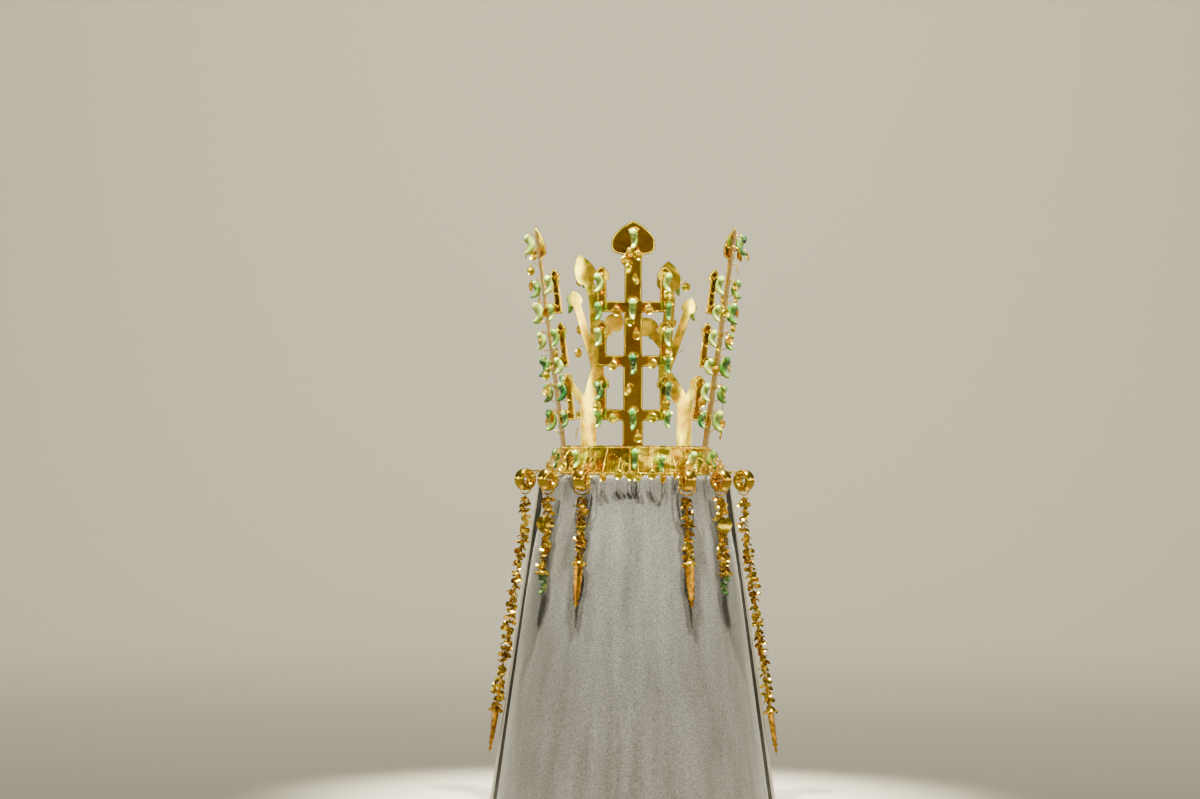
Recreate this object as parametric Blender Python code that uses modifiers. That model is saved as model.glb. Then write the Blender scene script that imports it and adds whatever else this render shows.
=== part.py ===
"""An ancient gold crown with comma-shaped jades and six pendants, on its cloth-covered stand.

Metres, +Z up. The origin is the centre of the stand's underside, the front is -Y and the
wearer's left is +X. Azimuths are in degrees round the band from the front towards +X.
"""

import math
import random

import bmesh
import bpy
from mathutils import Matrix, Vector

# Crown, from the underside of the band to the tip of the front tree
CROWN_HEIGHT = 0.273
BAND_RADIUS = 0.083
BAND_HEIGHT = 0.032
BAND_WALL = 0.001
BAND_STEPS = 48
FIT_GAP = 0.0003
PLATE_THICKNESS = 0.001
PLATE_FOOT = 0.025
PLATE_LEAN = math.radians(7.6)
BEND_STEP = 0.0135

# Stand: an elliptical frustum with a rounded top edge
STAND_HEIGHT = 0.365
STAND_TOP_HALF_WIDTH = 0.1045
STAND_BASE_HALF_WIDTH = 0.1585
STAND_DEPTH_RATIO = 0.85
STAND_EDGE_RADIUS = 0.005
STAND_STEPS = 36

# The crown sits turned a little on its stand
CROWN_TURN = -1.5

# Tree uprights: a trunk, crossbars whose ends turn up, and a bud on every end
SIDE_TREE_AZIMUTH = 76.0
TIER_COUNT = 3
TIER_FIRST = 0.033
TIER_RISE = 0.0585
BRANCH_REACH = 0.035
BRANCH_RISE = 0.028
BRANCH_HALF_WIDTH = 0.0057
CROSSBAR_HALF_HEIGHT = 0.0062
TRUNK_FOOT_HALF_WIDTH = 0.0112
TRUNK_TOP_HALF_WIDTH = 0.0094
TOP_BUD_WIDTH = 0.048
TOP_BUD_HEIGHT = 0.0375
SIDE_BUD_WIDTH = 0.018
SIDE_BUD_HEIGHT = 0.0155

# Antler uprights, as they stand at the wearer's right. OUT is away from the crown's middle.
ANTLER_AZIMUTH = 137.0
ANTLER_HEIGHT = 0.2
ANTLER_HALF_WIDTH = 0.0108
ANTLER_BRANCH_HALF_WIDTH = 0.0052
ANTLER_INNER_BUD = 0.022
ANTLER_BUD_WIDTH = 0.019
ANTLER_BUD_HEIGHT = 0.017
ANTLER_TOP_BUD_WIDTH = 0.028
ANTLER_TOP_BUD_HEIGHT = 0.034
ANTLERS = (
    # name, side, height share, bend inwards and lean of the top bud outwards as shares of the height
    ("left_antler", -1, 0.955, 0.07, -0.01),
    ("right_antler", 1, 1.0, 0.0, 0.024),
)

# Bud outline: a pointed dome above its widest line and rounded lobes below it
BUD_DOME_SHARE = 0.71
BUD_DOME_POWER = 2.2
BUD_LOBE_POWER = 3.0

# Comma jades: a tapered tube along an arc, hung by its head
JADE_ARC_RADIUS = 0.0092
JADE_HEAD_ANGLE = 118.0
JADE_STATIONS = ((94, 0.0030), (114, 0.0048), (158, 0.0047), (210, 0.0039), (262, 0.0015))
JADE_HEAD_RADIUS = 0.0048
JADE_BACK = 0.0072
JADE_STANDOFF = 0.0104
WIRE_RADIUS = 0.0005

# Pendants: hook, thick ring, oval link, chain of leaves and finial
RING_OUTER_RADIUS = 0.0125
RING_HOLE_RADIUS = 0.0045
RING_HALF_THICKNESS = 0.0065
RING_DROP = 0.005
RING_CLEARANCE = 0.003
HOOK_RADIUS = 0.0008
HOOK_HALF_SPAN = 0.0105
HOOK_REACH = 0.012
HOOK_HEIGHT = 0.005
LINK_HALF_WIDTH = 0.0098
LINK_HALF_HEIGHT = 0.0072
LINK_RADIUS = 0.0009
LINK_STEPS = 12
CHAIN_RADIUS = 0.0012
CHAIN_STEP = 0.035
CHAIN_STANDOFF = 0.0085
LEAF_REACH = 0.0066
LEAF_HALF_WIDTH = 0.0036
LEAF_THICKNESS = 0.0008
LEAF_TILT = math.radians(28)
LEAF_SPACING = 0.0185
CAP_RADIUS = 0.008
CAP_HEIGHT = 0.006
LANCE_LENGTH = 0.048
LANCE_WIDTH = 0.019
LANCE_THICKNESS = 0.0042
LANCE_POWER = 2.2
PENDANTS = (
    # place, ellipse angle, length from the ring's centre to the finial's top, finial,
    # turn of the ring, turn of the finial
    ("outer", 90.0, 0.255, "lance", 40.0, 40.0),
    ("middle", 51.5, 0.1015, "jade", 0.0, 0.0),
    ("inner", 28.5, 0.0905, "lance", 0.0, 0.0),
)

GOLD = (0.83, 0.55, 0.16)
JADE = (0.20, 0.52, 0.28)
CLOTH = (0.12, 0.118, 0.115)

BAND_BOTTOM = STAND_HEIGHT + FIT_GAP
BAND_TOP = BAND_BOTTOM + BAND_HEIGHT
PLATE_RADIUS = BAND_RADIUS * math.cos(math.pi / BAND_STEPS) - BAND_WALL - FIT_GAP - PLATE_THICKNESS / 2
PLATE_HEIGHT = (CROWN_HEIGHT - BAND_HEIGHT) / math.cos(PLATE_LEAN)
RING_MEAN_RADIUS = (RING_OUTER_RADIUS + RING_HOLE_RADIUS) / 2
RING_TUBE_RADIUS = (RING_OUTER_RADIUS - RING_HOLE_RADIUS) / 2
STAND_SLOPE = (STAND_BASE_HALF_WIDTH - STAND_TOP_HALF_WIDTH) / STAND_HEIGHT


def start_scene():
    for old in list(bpy.data.objects):
        bpy.data.objects.remove(old)
    crown = bpy.data.collections.new("gold_crown")
    cutters = bpy.data.collections.new("helpers")
    for made in (crown, cutters):
        bpy.context.scene.collection.children.link(made)
    return crown, cutters


def make_material(name, colour, roughness, metallic):
    material = bpy.data.materials.new(name)
    material.use_nodes = True
    shader = material.node_tree.nodes["Principled BSDF"]
    shader.inputs["Base Color"].default_value = (*colour, 1.0)
    shader.inputs["Roughness"].default_value = roughness
    shader.inputs["Metallic"].default_value = metallic
    return material


def add_object(name, data, collection, material=None, parent=None):
    made = bpy.data.objects.new(name, data)
    collection.objects.link(made)
    if material is not None:
        data.materials.append(material)
    made.parent = parent
    return made


def add_empty(name, collection, location, turn):
    made = bpy.data.objects.new(name, None)
    collection.objects.link(made)
    made.location = location
    made.rotation_euler.z = turn
    return made


def mesh_from_bmesh(name, bm):
    bmesh.ops.recalc_face_normals(bm, faces=bm.faces)
    mesh = bpy.data.meshes.new(name)
    bm.to_mesh(mesh)
    bm.free()
    return mesh


def mesh_from_curve(name, curve):
    """The curve's evaluated surface as one closed mesh."""
    carrier = bpy.data.objects.new(name, curve)
    bpy.context.scene.collection.objects.link(carrier)
    bpy.context.view_layer.update()
    graph = bpy.context.evaluated_depsgraph_get()
    mesh = bpy.data.meshes.new_from_object(carrier.evaluated_get(graph))
    bpy.data.objects.remove(carrier)
    bm = bmesh.new()
    bm.from_mesh(mesh)
    bmesh.ops.remove_doubles(bm, verts=bm.verts, dist=1e-6)
    bm.to_mesh(mesh)
    bm.free()
    return mesh


def tube_curve(name, points, radius, sides_level=0, cyclic=False, radii=None):
    """A round bar along points. sides_level 0 gives 4 sides, 1 gives 6 and 2 gives 8."""
    curve = bpy.data.curves.new(name, "CURVE")
    curve.dimensions = "3D"
    curve.bevel_depth = radius
    curve.bevel_resolution = sides_level
    curve.use_fill_caps = not cyclic
    line = curve.splines.new("POLY")
    line.points.add(len(points) - 1)
    line.use_cyclic_u = cyclic
    for index, point in enumerate(points):
        line.points[index].co = (*point, 1.0)
        line.points[index].radius = 1.0 if radii is None else radii[index] / radius
    return curve


def join_meshes(name, meshes, matrices=None):
    bm = bmesh.new()
    for index, mesh in enumerate(meshes):
        placed = mesh.copy()
        if matrices is not None:
            placed.transform(matrices[index])
        bm.from_mesh(placed)
        bpy.data.meshes.remove(placed)
    joined = bpy.data.meshes.new(name)
    bm.to_mesh(joined)
    bm.free()
    return joined


def add_union(target, helper_mesh, helpers):
    """Fuses a mesh in target's own frame with target."""
    helper = add_object(target.name + "_wires", helper_mesh, helpers, parent=target)
    helper.hide_render = True
    helper.display_type = "WIRE"
    union = target.modifiers.new("fused", "BOOLEAN")
    union.operation = "UNION"
    union.object = helper
    return helper


def bud_outline(base, direction, width, height, stem_half_width, steps):
    """Points round a bud from the right side of its stem to the left side."""
    along = direction.normalized()
    right = Vector((along.y, -along.x))
    lobe = height * (1 - BUD_DOME_SHARE)
    half = width / 2
    profile = []
    for step in range(1, steps):
        share = step / steps
        if (1 - (1 - share) ** BUD_LOBE_POWER) ** (1 / BUD_LOBE_POWER) * half > stem_half_width:
            profile.append(((1 - (1 - share) ** BUD_LOBE_POWER) ** (1 / BUD_LOBE_POWER) * half, share * lobe))
    for step in range(steps + 1):
        share = step / (steps + 1)
        profile.append(((1 - share**BUD_DOME_POWER) * half, lobe + share * (height - lobe)))
    up_right = [base + right * side + along * rise for side, rise in [(stem_half_width, 0.0)] + profile]
    rising = [(stem_half_width, 0.0), *profile]
    down_left = [base - right * side + along * rise for side, rise in reversed(rising)]
    return up_right + [base + along * height] + down_left


def corner(point, first_direction, first_side, second_direction, second_side):
    """Where two offset lines through point meet. A side is to the right of its direction."""
    first = first_direction.normalized()
    second = second_direction.normalized()
    first_start = point + Vector((first.y, -first.x)) * first_side
    second_start = point + Vector((second.y, -second.x)) * second_side
    cross = first.x * second.y - first.y * second.x
    if abs(cross) < 1e-4:
        return (first_start + second_start) / 2
    gap = second_start - first_start
    return first_start + first * ((gap.x * second.y - gap.y * second.x) / cross)


def stem(point, half_width, branches=(), bud=None):
    """One joint of a branching plate: its place, the half width of the strip to it, and its branches."""
    return {"at": Vector(point), "half": half_width, "branches": list(branches), "bud": bud}


def walk_outline(start, joint):
    """The outline of a branching plate beyond start, anticlockwise, by going up and down each strip."""
    way = joint["at"] - start
    if joint["bud"]:
        width, height, steps = joint["bud"]
        return bud_outline(joint["at"], way, width, height, joint["half"], steps)
    ordered = sorted(
        joint["branches"], key=lambda branch: way.angle_signed(branch["at"] - joint["at"]), reverse=True
    )
    points = []
    last_way, last_side = way, joint["half"]
    for branch in ordered:
        branch_way = branch["at"] - joint["at"]
        points.append(corner(joint["at"], last_way, last_side, branch_way, branch["half"]))
        points += walk_outline(joint["at"], branch)
        last_way, last_side = branch_way, -branch["half"]
    points.append(corner(joint["at"], last_way, last_side, way, -joint["half"]))
    return points


def tree_outline():
    """A trunk with three crossbars, flat, with v = 0 at the band's top edge."""
    side_bud = (SIDE_BUD_WIDTH, SIDE_BUD_HEIGHT, 2)
    top = PLATE_HEIGHT - TOP_BUD_HEIGHT
    joint = stem((0, top), TRUNK_TOP_HALF_WIDTH, bud=(TOP_BUD_WIDTH, TOP_BUD_HEIGHT, 5))
    for tier in reversed(range(TIER_COUNT)):
        height = TIER_FIRST + tier * TIER_RISE
        taper = tier / TIER_COUNT
        half = TRUNK_FOOT_HALF_WIDTH + (TRUNK_TOP_HALF_WIDTH - TRUNK_FOOT_HALF_WIDTH) * taper
        arms = [
            stem(
                (side * BRANCH_REACH, height),
                CROSSBAR_HALF_HEIGHT,
                [stem((side * BRANCH_REACH, height + BRANCH_RISE), BRANCH_HALF_WIDTH, bud=side_bud)],
            )
            for side in (-1, 1)
        ]
        joint = stem((0, height), half, arms + [joint])
    return outline_from(Vector((0, -PLATE_FOOT)), joint)


def antler_outline(side, lift, sway, tip_out):
    """An antler with one inner and two outer branches. side is 1 where out is +u; sway bends it inwards."""
    bud = (ANTLER_BUD_WIDTH, ANTLER_BUD_HEIGHT, 2)
    inner_bud = (ANTLER_INNER_BUD, ANTLER_INNER_BUD, 3)
    top_bud = (ANTLER_TOP_BUD_WIDTH, ANTLER_TOP_BUD_HEIGHT, 4)
    thin = ANTLER_BRANCH_HALF_WIDTH

    def at(out, height):
        return (side * (out - sway) * ANTLER_HEIGHT, height * lift * ANTLER_HEIGHT)

    half = ANTLER_HALF_WIDTH
    top = stem(at(-0.125 + tip_out, 0.935), half * 0.59, bud=top_bud)
    neck = stem(at(-0.125, 0.86), half * 0.59, [top])
    inner = stem(at(-0.2075, 0.6725), thin, bud=inner_bud)
    third = stem(at(-0.12, 0.5775), half * 0.69, [neck, inner])
    outer_high = stem(at(-0.01, 0.805), thin, bud=bud)
    second = stem(at(-0.1125, 0.423), half * 0.81, [third, outer_high])
    outer_low = stem(at(0.0925, 0.345), thin * 1.12, bud=bud)
    first = stem((side * -0.03 * ANTLER_HEIGHT, 0.23 * ANTLER_HEIGHT), half, [second, outer_low])
    return outline_from(Vector((0, -PLATE_FOOT)), first)


def outline_from(foot, joint):
    way = (joint["at"] - foot).normalized()
    right = Vector((way.y, -way.x)) * joint["half"]
    points = [foot + right] + walk_outline(foot, joint) + [foot - right]
    kept = [points[0]]
    for point in points[1:]:
        if (point - kept[-1]).length > 5e-4:
            kept.append(point)
    return kept


def on_plate(u, v, out=0.0):
    """A point of an upright, in the upright's own frame: -Y is outwards and z = 0 is the band's top edge."""
    turn = u / PLATE_RADIUS
    sideways = (PLATE_RADIUS + out) * math.sin(turn)
    forward = (PLATE_RADIUS + out) * math.cos(turn) - PLATE_RADIUS
    if v <= 0:
        return Vector((sideways, -forward, v))
    lean_out = forward * math.cos(PLATE_LEAN) + v * math.sin(PLATE_LEAN)
    return Vector((sideways, -lean_out, v * math.cos(PLATE_LEAN) - forward * math.sin(PLATE_LEAN)))


def bent_plate(name, outline):
    """A flat outline as sheet gold, cut across so that it can follow the band's curve."""
    curve = bpy.data.curves.new(name, "CURVE")
    curve.dimensions = "2D"
    curve.fill_mode = "BOTH"
    curve.extrude = PLATE_THICKNESS / 2
    line = curve.splines.new("POLY")
    line.points.add(len(outline) - 1)
    line.use_cyclic_u = True
    for index, point in enumerate(outline):
        line.points[index].co = (point.x, point.y, 0.0, 1.0)
    mesh = mesh_from_curve(name, curve)
    bm = bmesh.new()
    bm.from_mesh(mesh)
    bmesh.ops.dissolve_limit(bm, angle_limit=math.radians(1), verts=bm.verts, edges=bm.edges)
    reach = max(abs(point.x) for point in outline)
    cuts = int((reach - 0.004) / BEND_STEP)
    for index in range(-cuts, cuts + 1):
        bmesh.ops.bisect_plane(
            bm,
            geom=bm.verts[:] + bm.edges[:] + bm.faces[:],
            dist=1e-5,
            plane_co=(index * BEND_STEP, 0, 0),
            plane_no=(1, 0, 0),
        )
    bmesh.ops.bisect_plane(
        bm, geom=bm.verts[:] + bm.edges[:] + bm.faces[:], dist=1e-5, plane_co=(0, 0, 0), plane_no=(0, 1, 0)
    )
    bmesh.ops.triangulate(bm, faces=bm.faces)
    bmesh.ops.dissolve_degenerate(bm, dist=1e-5, edges=bm.edges)
    for vertex in bm.verts:
        vertex.co = on_plate(vertex.co.x, vertex.co.y, vertex.co.z)
    return mesh_from_bmesh(name, bm)


def stub_wire(start, end):
    return mesh_from_curve("stub", tube_curve("stub", [start, end], WIRE_RADIUS))


def jade_curve(name, scale):
    """A comma jade with its head's hole at the origin. It hangs down and its tail points to -Y."""
    head = math.radians(JADE_HEAD_ANGLE)
    centre = Vector((0, math.cos(head), -math.sin(head))) * JADE_ARC_RADIUS
    points = []
    radii = []
    for degrees, radius in JADE_STATIONS:
        angle = math.radians(degrees)
        point = centre + Vector((0, -math.cos(angle), math.sin(angle))) * JADE_ARC_RADIUS
        points.append(point * scale)
        radii.append(radius * scale)
    return tube_curve(name, points, JADE_HEAD_RADIUS * scale, 1, radii=radii)


def add_jade(name, crown, material, parent, u, v, scale, twist):
    """Hangs a jade in front of the plate at (u, v) and returns the wire that reaches it."""
    jade = add_object(name, jade_curve(name, scale), crown, material, parent)
    turn = u / PLATE_RADIUS
    away = Vector((math.sin(turn), -math.cos(turn), 0))
    root = on_plate(u, v)
    jade.location = root + away * (JADE_STANDOFF + PLATE_THICKNESS / 2)
    jade.rotation_euler.z = turn + math.radians(twist)
    reach = JADE_STANDOFF + PLATE_THICKNESS / 2 - JADE_BACK * scale - 2 * FIT_GAP
    return stub_wire(root, root + away * reach)


def add_upright(name, crown, helpers, gold, jade, azimuth, outline, jades, rng):
    turn = math.radians(azimuth + CROWN_TURN)
    upright = add_object(name, bent_plate(name, outline), crown, gold)
    upright.location = (PLATE_RADIUS * math.sin(turn), -PLATE_RADIUS * math.cos(turn), BAND_TOP)
    upright.rotation_euler.z = turn
    wires = [
        add_jade(f"{name}_jade_{index + 1}", crown, jade, upright, u, v, scale, rng.uniform(-22, 22))
        for index, (u, v, scale) in enumerate(jades)
    ]
    add_union(upright, join_meshes(name + "_wires", wires), helpers)
    return upright


def tree_jades(corner_tiers=(0, 2), bud_tiers=(0, 1, 2)):
    """Where jades hang on a tree: (u, v, scale) of each head."""
    places = [(0.0, TIER_FIRST + 0.002 + tier * (TIER_RISE + 0.001), 1.0) for tier in range(TIER_COUNT)]
    places.append((0.0, PLATE_HEIGHT - 0.014, 0.95))
    for side in (-1, 1):
        for tier in corner_tiers:
            places.append((side * BRANCH_REACH, TIER_FIRST + tier * TIER_RISE, 0.84))
        for tier in bud_tiers:
            places.append((side * BRANCH_REACH, TIER_FIRST + BRANCH_RISE + 0.003 + tier * TIER_RISE, 0.88))
    return places


def build_uprights(crown, helpers, gold, jade):
    rng = random.Random(7)
    tree = tree_outline()
    add_upright("front_tree", crown, helpers, gold, jade, 0, tree, tree_jades(), rng)
    side_places = tree_jades(corner_tiers=(), bud_tiers=(0, 2))
    add_upright("left_tree", crown, helpers, gold, jade, SIDE_TREE_AZIMUTH, tree, side_places, rng)
    add_upright("right_tree", crown, helpers, gold, jade, -SIDE_TREE_AZIMUTH, tree, side_places, rng)
    for name, side, lift, sway, tip_out in ANTLERS:
        outline = antler_outline(side, lift, sway, tip_out)
        places = [
            (side * (out - sway) * ANTLER_HEIGHT, height * lift * ANTLER_HEIGHT, scale)
            for out, height, scale in ((-0.105, 0.995, 0.9), (-0.005, 0.84, 0.85))
        ]
        add_upright(name, crown, helpers, gold, jade, -side * ANTLER_AZIMUTH, outline, places, rng)


def ring_places():
    """The centre and outward direction of each thick ring, just outside the stand's top edge."""
    top = STAND_TOP_HALF_WIDTH + RING_DROP * STAND_SLOPE
    for side, side_name in ((1, "left"), (-1, "right")):
        for place, degrees, length, finial, *turns in PENDANTS:
            angle = math.radians(degrees)
            edge = Vector((side * top * math.sin(angle), -top * STAND_DEPTH_RATIO * math.cos(angle), 0))
            away = Vector((side * math.sin(angle) * STAND_DEPTH_RATIO, -math.cos(angle), 0)).normalized()
            centre = edge + away * (RING_OUTER_RADIUS + RING_CLEARANCE)
            centre.z = STAND_HEIGHT - RING_DROP
            ring_turn, finial_turn = (-side * math.radians(turn) for turn in turns)
            yield f"{side_name}_{place}", centre, away, length, finial, ring_turn, finial_turn


def hook_wire(centre, away, turn):
    """A bent wire from the band out through the thick ring and back, in the crown's frame."""
    inward = Matrix.Rotation(turn, 3, "Z") @ -away
    across = Vector((inward.y, -inward.x, 0))
    seat = centre.copy()
    seat.z += RING_HOLE_RADIUS - HOOK_RADIUS - 2 * FIT_GAP
    points = []
    for side in (-1, 1):
        leg = seat + across * side * HOOK_HALF_SPAN
        middle = leg + inward * HOOK_REACH
        root = Vector((middle.x, middle.y, 0)).normalized() * (BAND_RADIUS - BAND_WALL / 2)
        root.z = BAND_BOTTOM + HOOK_HEIGHT
        middle.z = BAND_BOTTOM + HOOK_HEIGHT * 0.75
        points.append([root, middle, leg])
    return mesh_from_curve("hook", tube_curve("hook", points[0] + points[1][::-1], HOOK_RADIUS))


def build_band(crown, helpers, gold, jade):
    bm = bmesh.new()
    bmesh.ops.create_cone(
        bm, cap_ends=False, segments=BAND_STEPS, radius1=BAND_RADIUS, radius2=BAND_RADIUS, depth=BAND_HEIGHT
    )
    band = add_object("headband", mesh_from_bmesh("headband", bm), crown, gold)
    band.location.z = BAND_BOTTOM + BAND_HEIGHT / 2
    wall = band.modifiers.new("wall", "SOLIDIFY")
    wall.thickness = BAND_WALL
    wall.offset = -1
    wires = [hook_wire(centre, away, turn) for _, centre, away, _, _, turn, _ in ring_places()]
    middle = Vector((0, -BAND_RADIUS + BAND_WALL / 2, BAND_BOTTOM + 0.024))
    head = middle + Vector((0, -JADE_STANDOFF, 0))
    wires.append(stub_wire(middle, middle.lerp(head, 1 - (JADE_BACK + 2 * FIT_GAP) / JADE_STANDOFF)))
    to_band = Matrix.Translation((0, 0, -band.location.z))
    add_union(band, join_meshes("headband_wires", wires, [to_band] * len(wires)), helpers)
    front_jade = add_object("headband_jade", jade_curve("headband_jade", 0.95), crown, jade)
    front_jade.location = head


def build_stand(crown, cloth):
    rounding = [
        Vector((STAND_TOP_HALF_WIDTH - STAND_EDGE_RADIUS, STAND_HEIGHT - STAND_EDGE_RADIUS))
        + Vector((math.sin(angle), math.cos(angle))) * STAND_EDGE_RADIUS
        for angle in (math.radians(step * 27) for step in range(4))
    ]
    profile = [Vector((0, STAND_HEIGHT)), *rounding, Vector((STAND_BASE_HALF_WIDTH, 0)), Vector((0, 0))]
    mesh = bpy.data.meshes.new("display_stand")
    mesh.from_pydata([(p.x, 0, p.y) for p in profile], [(i, i + 1) for i in range(len(profile) - 1)], [])
    stand = add_object("display_stand", mesh, crown, cloth)
    stand.scale.y = STAND_DEPTH_RATIO
    turned = stand.modifiers.new("turned", "SCREW")
    turned.steps = STAND_STEPS
    turned.render_steps = STAND_STEPS
    turned.use_merge_vertices = True
    turned.merge_threshold = 1e-5


def chain_offset(depth):
    """How far out a chain hangs at a depth below its ring's centre: plumb, then on the stand's slope."""
    return max(0.0, CHAIN_STANDOFF + STAND_SLOPE * depth - RING_OUTER_RADIUS - RING_CLEARANCE)


def chain_point(depth):
    return Vector((0, -chain_offset(depth), -depth))


def leaf_mesh():
    """A pair of leaves as one long plate across the chain."""
    bm = bmesh.new()
    bmesh.ops.create_cone(bm, cap_ends=True, segments=6, radius1=1, radius2=1, depth=LEAF_THICKNESS)
    bmesh.ops.scale(bm, vec=(LEAF_REACH, LEAF_HALF_WIDTH, 1), verts=bm.verts)
    return mesh_from_bmesh("leaf", bm)


def build_chain(name, crown, helpers, gold, hanger, length, link_turn):
    """The oval link round the thick ring, the chain's core below it, its leaves, and the cap at its end."""
    link_centre = -RING_MEAN_RADIUS - RING_TUBE_RADIUS + LINK_HALF_HEIGHT - LINK_RADIUS - 0.0025
    link = [
        Vector((math.cos(angle) * LINK_HALF_WIDTH, 0, link_centre + math.sin(angle) * LINK_HALF_HEIGHT))
        for angle in (step * math.tau / LINK_STEPS for step in range(LINK_STEPS))
    ]
    top = -link_centre + LINK_HALF_HEIGHT
    count = max(2, round((length - top) / CHAIN_STEP))
    core = [chain_point(top + (length - top) * step / count) for step in range(count + 1)]
    chain = add_object(name, mesh_from_curve(name, tube_curve(name, core, CHAIN_RADIUS)), crown, gold, hanger)
    extras = [mesh_from_curve("link", tube_curve("link", link, LINK_RADIUS, cyclic=True))]
    matrices = [Matrix.Rotation(link_turn, 4, "Z")]
    leaf = leaf_mesh()
    tiers = int((length - top - CAP_HEIGHT) / LEAF_SPACING)
    for tier in range(tiers):
        depth = top + 0.007 + tier * LEAF_SPACING
        place = Matrix.Translation(chain_point(depth)) @ Matrix.Rotation(math.radians(65 * tier), 4, "Z")
        extras.append(leaf)
        matrices.append(place @ Matrix.Rotation(LEAF_TILT, 4, "Y"))
    bm = bmesh.new()
    bmesh.ops.create_cone(
        bm, cap_ends=True, segments=8, radius1=CAP_RADIUS, radius2=CHAIN_RADIUS * 1.5, depth=CAP_HEIGHT
    )
    extras.append(mesh_from_bmesh("cap", bm))
    matrices.append(Matrix.Translation(chain_point(length - CAP_HEIGHT / 2)) @ slope_turn(length))
    add_union(chain, join_meshes(name + "_leaves", extras, matrices), helpers)
    return chain


def slope_turn(depth):
    """The turn that lines a finial up with the chain above it."""
    lean = math.atan(STAND_SLOPE) if chain_offset(depth) > 0 else 0.0
    return Matrix.Rotation(lean, 4, "X").inverted()


def build_lance(name, crown, gold, hanger, length, turn):
    """A long pen-nib shaped finial: flat, with a ridge, widest below its shoulder."""
    bm = bmesh.new()
    bmesh.ops.create_cone(bm, cap_ends=True, segments=4, radius1=0.0, radius2=0.5, depth=1.0)
    bmesh.ops.subdivide_edges(
        bm, edges=[e for e in bm.edges if abs(e.verts[0].co.z - e.verts[1].co.z) > 0.5], cuts=3
    )
    for vertex in bm.verts:
        share = 0.5 - vertex.co.z
        swell = (1 - share**LANCE_POWER) / max(1 - share, 1e-3)
        vertex.co.x *= LANCE_WIDTH * swell
        vertex.co.y *= LANCE_THICKNESS * swell
        vertex.co.z = -share * LANCE_LENGTH
    lance = add_object(name, mesh_from_bmesh(name, bm), crown, gold, hanger)
    lance.location = chain_point(length + FIT_GAP)
    lance.rotation_euler = (slope_turn(length) @ Matrix.Rotation(turn, 4, "Z")).to_euler()


def build_pendants(crown, helpers, gold, jade):
    for name, centre, away, length, finial, ring_turn, turn in ring_places():
        hanger = add_empty(name + "_pendant", crown, centre, math.atan2(away.x, -away.y))
        bpy.ops.mesh.primitive_torus_add(
            major_radius=RING_MEAN_RADIUS, minor_radius=RING_TUBE_RADIUS, major_segments=14, minor_segments=6
        )
        torus = bpy.context.object
        mesh = torus.data
        bpy.data.objects.remove(torus)
        mesh.transform(Matrix.Diagonal((1, 1, 1.1 * RING_HALF_THICKNESS / RING_TUBE_RADIUS, 1)))
        mesh.transform(Matrix.Rotation(ring_turn, 4, "Z") @ Matrix.Rotation(math.pi / 2, 4, "Y"))
        add_object(name + "_ring", mesh, crown, gold, hanger)
        build_chain(name + "_chain", crown, helpers, gold, hanger, length, ring_turn)
        if finial == "lance":
            build_lance(name + "_lance", crown, gold, hanger, length, turn)
        else:
            drop = add_object(name + "_jade", jade_curve(name + "_jade", 0.9), crown, jade, hanger)
            drop.location = chain_point(length + 0.0052)


def main():
    crown, helpers = start_scene()
    gold = make_material("sheet_gold", GOLD, 0.28, 1.0)
    jade = make_material("green_jade", JADE, 0.25, 0.0)
    cloth = make_material("grey_felt", CLOTH, 0.95, 0.0)
    build_stand(crown, cloth)
    build_band(crown, helpers, gold, jade)
    build_uprights(crown, helpers, gold, jade)
    build_pendants(crown, helpers, gold, jade)


main()
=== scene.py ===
"""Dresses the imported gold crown: hammered sheet gold with punched borders, comma jades and
spangles on twisted wires, six leaf-hung pendants, and the cloth-covered stand behind them."""

import math
import random

import bmesh
import bpy
from bpy.props import FloatProperty, FloatVectorProperty, IntProperty, PointerProperty
from mathutils import Matrix, Vector, noise


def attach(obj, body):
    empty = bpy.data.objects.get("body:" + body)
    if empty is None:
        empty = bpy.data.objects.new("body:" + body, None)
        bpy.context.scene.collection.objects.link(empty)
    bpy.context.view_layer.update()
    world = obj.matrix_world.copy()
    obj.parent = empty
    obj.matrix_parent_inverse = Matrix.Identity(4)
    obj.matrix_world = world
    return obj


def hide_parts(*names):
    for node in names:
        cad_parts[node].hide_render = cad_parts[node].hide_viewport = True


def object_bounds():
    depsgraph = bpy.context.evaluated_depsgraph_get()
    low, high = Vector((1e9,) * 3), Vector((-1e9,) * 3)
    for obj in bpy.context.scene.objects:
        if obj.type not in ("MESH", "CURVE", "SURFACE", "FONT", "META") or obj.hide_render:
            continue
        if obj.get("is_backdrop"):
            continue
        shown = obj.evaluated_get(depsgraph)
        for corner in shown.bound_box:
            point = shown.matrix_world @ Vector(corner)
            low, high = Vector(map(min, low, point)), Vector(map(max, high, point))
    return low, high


bl_info = {
    "name": "Gold Crown Dressing",
    "version": (1, 0, 0),
    "blender": (4, 5, 0),
    "location": "3D View > Sidebar > Crown",
    "description": "Gold, jade, wire and cloth for an ancient crown on its stand",
    "category": "Object",
}

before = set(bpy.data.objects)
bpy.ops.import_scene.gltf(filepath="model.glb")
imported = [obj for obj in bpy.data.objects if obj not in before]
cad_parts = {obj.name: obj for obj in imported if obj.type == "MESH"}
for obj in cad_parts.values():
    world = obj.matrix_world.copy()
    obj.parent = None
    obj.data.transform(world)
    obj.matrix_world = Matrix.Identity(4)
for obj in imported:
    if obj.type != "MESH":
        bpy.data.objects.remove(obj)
cad_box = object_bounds()

MM = 0.001
DOWN = Vector((0, 0, -1))

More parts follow.
